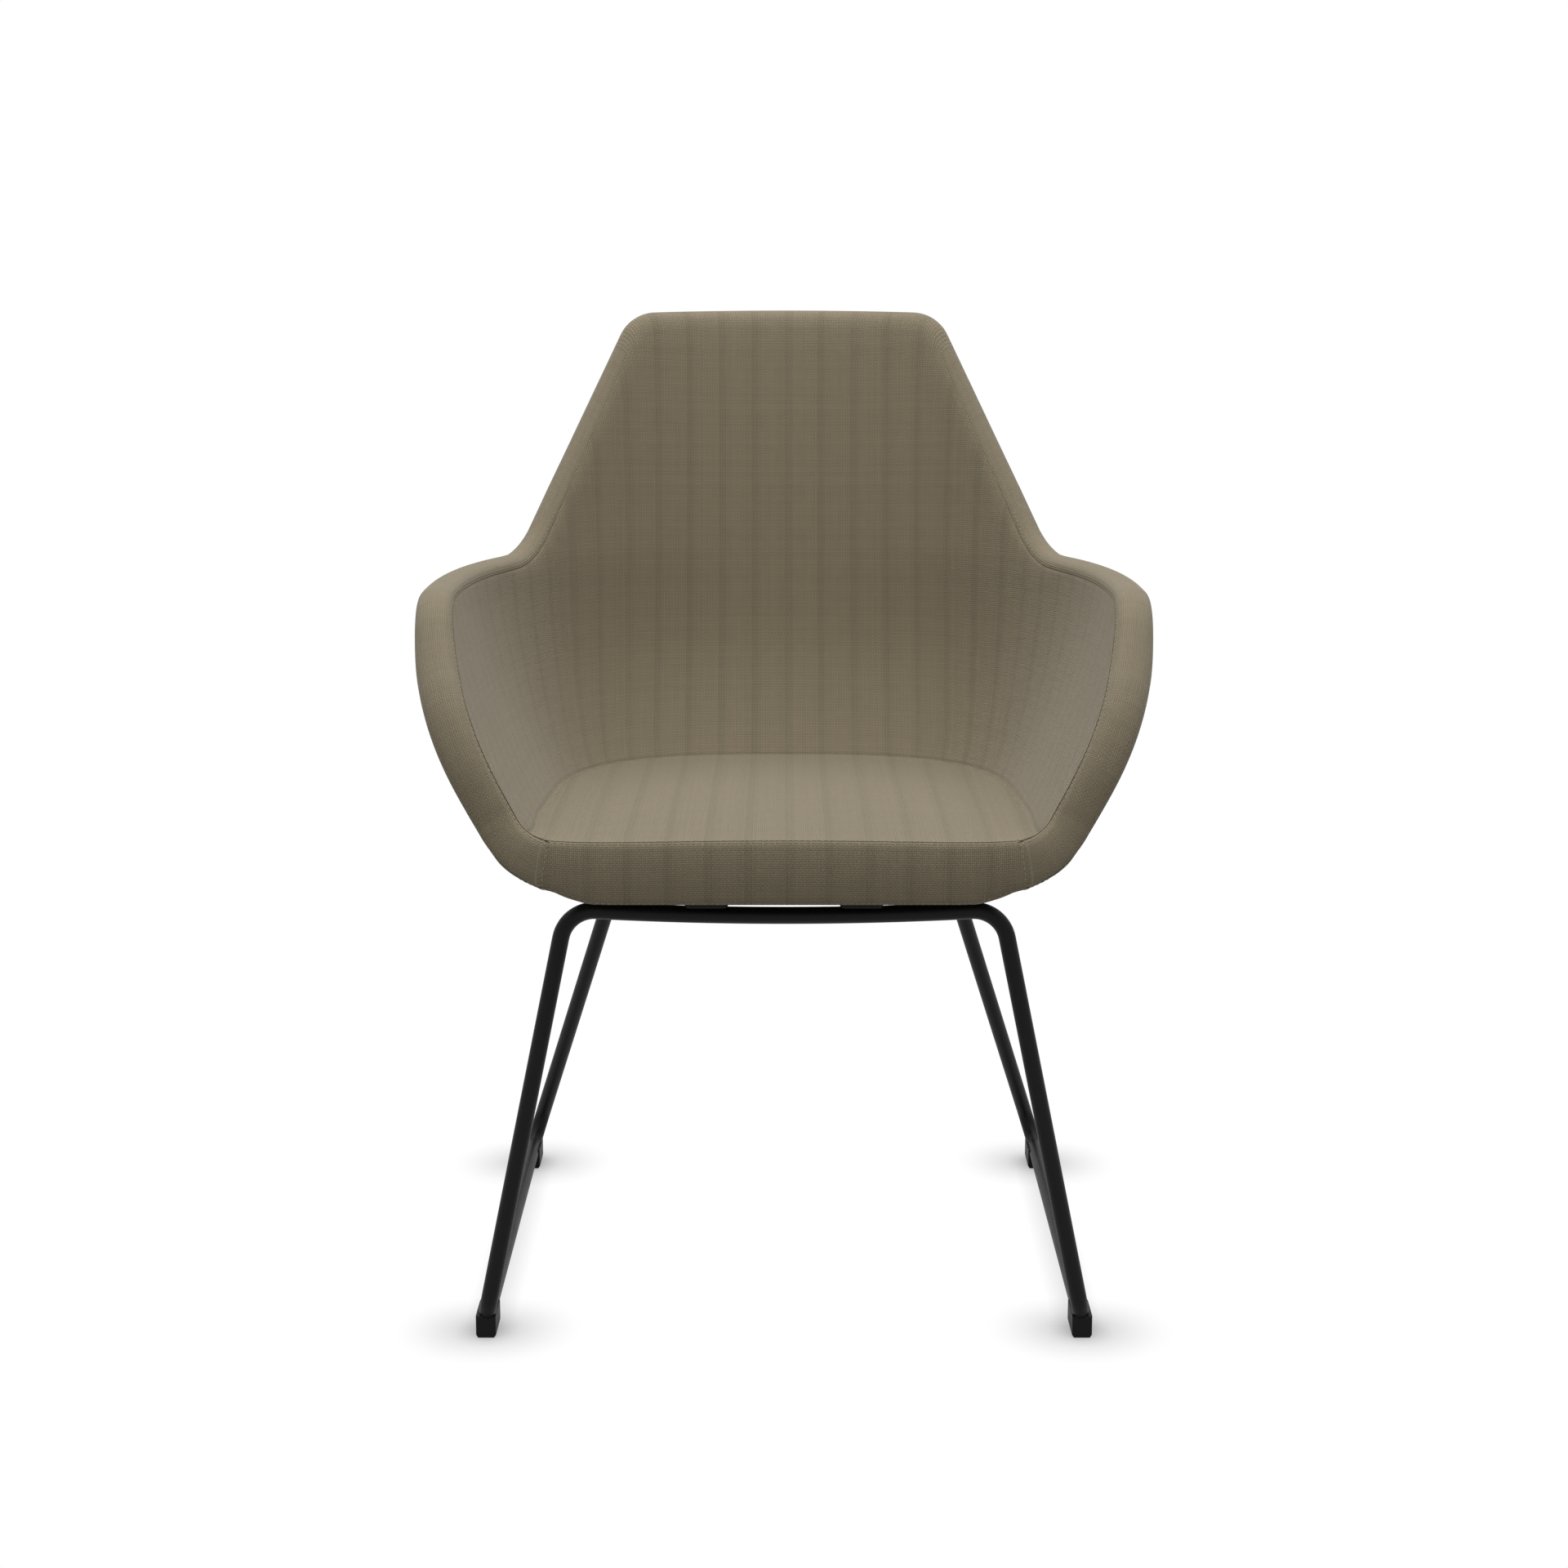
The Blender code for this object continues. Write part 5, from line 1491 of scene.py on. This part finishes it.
@dataclass
class SledFrame:
    """The bent rod of the base, butt-welded at the middle of both cross bars."""

    tub: TubSurface
    finishes: Finishes
    rod_radius: float = 0.007
    sides: int = 32
    front_bar_depth: float = 0.129
    front_bar_half: float = 0.177
    front_bar_bow: float = 0.0054
    rear_bar_depth: float = 0.409
    rear_bar_half: float = 0.142
    runner_half: float = 0.247
    runner_front: float = 0.101
    runner_rear: float = 0.609
    runner_height: float = 0.016
    top_bend: float = 0.028
    runner_bend: float = 0.024
    bend_step: float = math.radians(5)
    bow_share: float = 0.75
    bow_steps: int = 16
    weld_swell: float = 0.04
    weld_width: float = 0.0035
    weld_steps: int = 6

    def path(self) -> np.ndarray:
        """Centre line of the right half, from the front weld to the rear weld."""
        low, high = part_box("seat_strap_right")
        rear = low.z - self.tub.form.gap - self.rod_radius
        middle = rear - self.front_bar_bow * (high.x / self.front_bar_half) ** 2
        share = np.linspace(0, self.bow_share, self.bow_steps)
        bar = [(self.front_bar_half * k, self.front_bar_depth, middle + self.front_bar_bow * k * k) for k in share]
        corners = [bar[-1], (self.front_bar_half, self.front_bar_depth, middle + self.front_bar_bow),
                   (self.runner_half, self.runner_front, self.runner_height),
                   (self.runner_half, self.runner_rear, self.runner_height),
                   (self.rear_bar_half, self.rear_bar_depth, rear), (0.0, self.rear_bar_depth, rear)]
        bends = [self.top_bend, self.runner_bend, self.runner_bend, self.top_bend]
        path = np.vstack([bar[:-1], rounded(corners, bends, self.bend_step)])
        steps = np.array([(self.weld_width * k / 2, 0.0, 0.0) for k in range(1, self.weld_steps + 1)])
        start, near_weld = path[0] + steps, path[-1] + steps[::-1]
        start[:, 2] += self.front_bar_bow * (start[:, 0] / self.front_bar_half) ** 2
        far = path[(path[:, 0] > start[-1, 0]) | (path[:, 1] > self.front_bar_depth + self.rod_radius)]
        return np.vstack([path[:1], start, far[:-1], near_weld, path[-1:]]) + self.tub.shift

    def build(self) -> None:
        """Builds the rod as one closed loop."""
        right = self.path()
        loop = np.vstack([right, right[-2:0:-1] * MIRROR])
        count = len(loop)
        mesh = bpy.data.meshes.new("sled_rod")
        mesh.from_pydata(loop.tolist(), [(k, (k + 1) % count) for k in range(count)], [])
        swell = 1 + self.weld_swell * dip(loop[:, 0], self.weld_width)
        mesh.attributes.new("swell", "FLOAT", "POINT").data.foreach_set("value", swell)
        sizes = {"Radius": self.rod_radius, "Sides": self.sides, "Finish": self.finishes.coat}
        rod = grown("sled_rod", mesh, rod_tree(), sizes)
        put_on(rod, "black_powder_coat", "sled_frame_left", "sled_frame_right")


@dataclass
class Hardware:
    """CAD nodes that keep their shape and get their finish here."""

    finishes: Finishes

    def build(self) -> None:
        """Dresses straps, fasteners and glides by the start of their names."""
        zinc, plastic = self.finishes.zinc, self.finishes.plastic
        finishes = {"seat_strap": self.finishes.coat, "bolt": zinc, "washer": zinc, "spacer": zinc, "tee_nut": zinc,
                    "front_glide": plastic, "rear_glide": plastic}
        for name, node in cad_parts.items():
            for start, material in finishes.items():
                if name.startswith(start):
                    node.data.materials.clear()
                    node.data.materials.append(material)
                    LOG.info("%s: %s", name, material.name)


# Studio

@dataclass
class Studio:
    """Camera, floor, lights and world."""

    front: float
    camera_distance: float = 2.191
    camera_height: float = 0.9036
    camera_tilt: float = math.radians(79.25)
    lens: float = 67.18
    sensor: float = 36.0
    aim_height: float = 0.45
    floor_half: float = 8.0
    floor_grey: float = 0.4
    floor_roughness: float = 0.9
    fill: float = 0.13
    key_power: float = 93.0
    key_size: float = 3.8
    key_place: tuple[float, float, float] = (0.0, -0.08, 2.3)
    front_power: float = 6.5
    front_size: float = 2.0
    front_place: tuple[float, float, float] = (0.0, -2.8, 1.9)
    # Painted shade on the floor's glow from ambient occlusion near the chair.
    contact_reach: float = 0.020
    contact_power: float = 0.4
    contact_samples: int = 16
    # Painted shadow round each glide on the floor: its darkness, reach and fall-off.
    painted_foot_shadow: float = 0.46
    painted_foot_shadow_reach: float = 0.080
    painted_foot_shadow_power: float = 1.5

    def add_camera(self) -> None:
        """A camera at the photograph's viewing angle."""
        data = bpy.data.cameras.new("camera")
        data.lens, data.sensor_width = self.lens, self.sensor
        camera = linked("camera", data)
        camera.location = (0.0, self.front - self.camera_distance, self.camera_height)
        camera.rotation_euler = (self.camera_tilt, 0.0, 0.0)
        bpy.context.scene.camera = camera

    def add_floor(self) -> None:
        """A plain pale floor, seen as an even white glow darkened by painted shade: ambient occlusion near the chair
        and a painted shadow round each glide.
        """
        mesh = bpy.data.meshes.new("studio_floor")
        half = self.floor_half
        mesh.from_pydata([(-half, -half, 0), (half, -half, 0), (half, half, 0), (-half, half, 0)], [], [(0, 1, 2, 3)])
        material, bench, shader = new_material("pale_floor")
        shader.inputs["Base Color"].default_value = (*[self.floor_grey] * 3, 1.0)
        shader.inputs["Roughness"].default_value = self.floor_roughness
        # Painted shade: ambient occlusion darkens the floor's camera-seen glow near the chair.
        contact = bench.add("ShaderNodeAmbientOcclusion", {"Distance": self.contact_reach},
                            samples=self.contact_samples)
        shade = bench.math("POWER", contact.outputs["AO"], self.contact_power)
        place = bench.add("ShaderNodeTexCoord").outputs["Object"]
        # Painted shadow: a soft dark disc round each glide, darkest at its middle.
        for name in (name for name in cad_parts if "glide" in name):
            low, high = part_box(name)
            foot = ((low.x + high.x) / 2, (low.y + high.y) / 2, 0.0)
            away = bench.add("ShaderNodeVectorMath", {0: place, 1: foot}, operation="DISTANCE").outputs["Value"]
            near = bench.math("SUBTRACT", 1.0, bench.math("DIVIDE", away, self.painted_foot_shadow_reach))
            near = bench.math("POWER", bench.math("MAXIMUM", near, 0.0), self.painted_foot_shadow_power)
            shade = bench.math("MULTIPLY", shade, bench.math("MULTIPLY_ADD", near, -self.painted_foot_shadow, 1.0))
        grey = bench.add("ShaderNodeCombineColor", dict.fromkeys(range(3), shade))
        light = bench.add("ShaderNodeEmission", {"Color": grey.outputs[0]})
        seen = bench.add("ShaderNodeMixShader", {0: self._seen(bench), 1: shader.outputs[0], 2: light.outputs[0]})
        bench.feed(material.node_tree.nodes["Material Output"].inputs["Surface"], seen.outputs[0])
        mesh.materials.append(material)
        floor = linked("studio_floor", mesh)

    @staticmethod
    def _seen(bench: Bench) -> Socket:
        """1 for rays that show the background itself: from the camera, in gloss and through glass."""
        path = bench.add("ShaderNodeLightPath").outputs
        either = bench.math("MAXIMUM", path["Is Camera Ray"], path["Is Glossy Ray"])
        return bench.math("MAXIMUM", either, path["Is Transmission Ray"])

    def add_lamp(self, name: str, power: float, size: float, place: tuple[float, float, float]) -> None:
        """A square soft light that faces the seat.

        Args:
            name: Name of the light.
            power: Its power in watts.
            size: Length of its sides.
            place: Where it hangs.
        """
        data = bpy.data.lights.new(name, "AREA")
        data.energy, data.size = power, size
        lamp = linked(name, data)
        lamp.location = place
        aim = Vector((0.0, 0.0, self.aim_height)) - lamp.location
        lamp.rotation_euler = aim.to_track_quat("-Z", "Y").to_euler()

    def add_light(self) -> None:
        """A large soft light overhead, a weak one at the front and an even fill from the white world."""
        self.add_lamp("soft_key", self.key_power, self.key_size, self.key_place)
        self.add_lamp("soft_front", self.front_power, self.front_size, self.front_place)
        world = bpy.data.worlds.new("white_studio")
        world.use_nodes = True
        bench = Bench(world.node_tree)
        strength = bench.math("MULTIPLY_ADD", self._seen(bench), 1.0 - self.fill, self.fill)
        bench.feed(world.node_tree.nodes["Background"].inputs["Strength"], strength)
        world.node_tree.nodes["Background"].inputs["Color"].default_value = (1.0, 1.0, 1.0, 1.0)
        bpy.context.scene.world = world

    def build(self) -> None:
        """Sets the whole stage."""
        self.add_camera()
        self.add_floor()
        self.add_light()
        bpy.context.scene.view_settings.view_transform = "Standard"


def main() -> None:
    """Builds the chair, sub-assembly by sub-assembly."""
    logging.basicConfig(level=logging.INFO, format="%(name)s %(message)s")
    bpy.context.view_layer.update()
    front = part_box("seat_cover")[0].y
    Studio(front).build()
    finishes = Finishes()
    tub = TubSurface(TubForm(), Spacing(), front)
    Upholstery(tub, finishes).build()
    SledFrame(tub, finishes).build()
    Hardware(finishes).build()


if __name__ == "__main__":
    main()
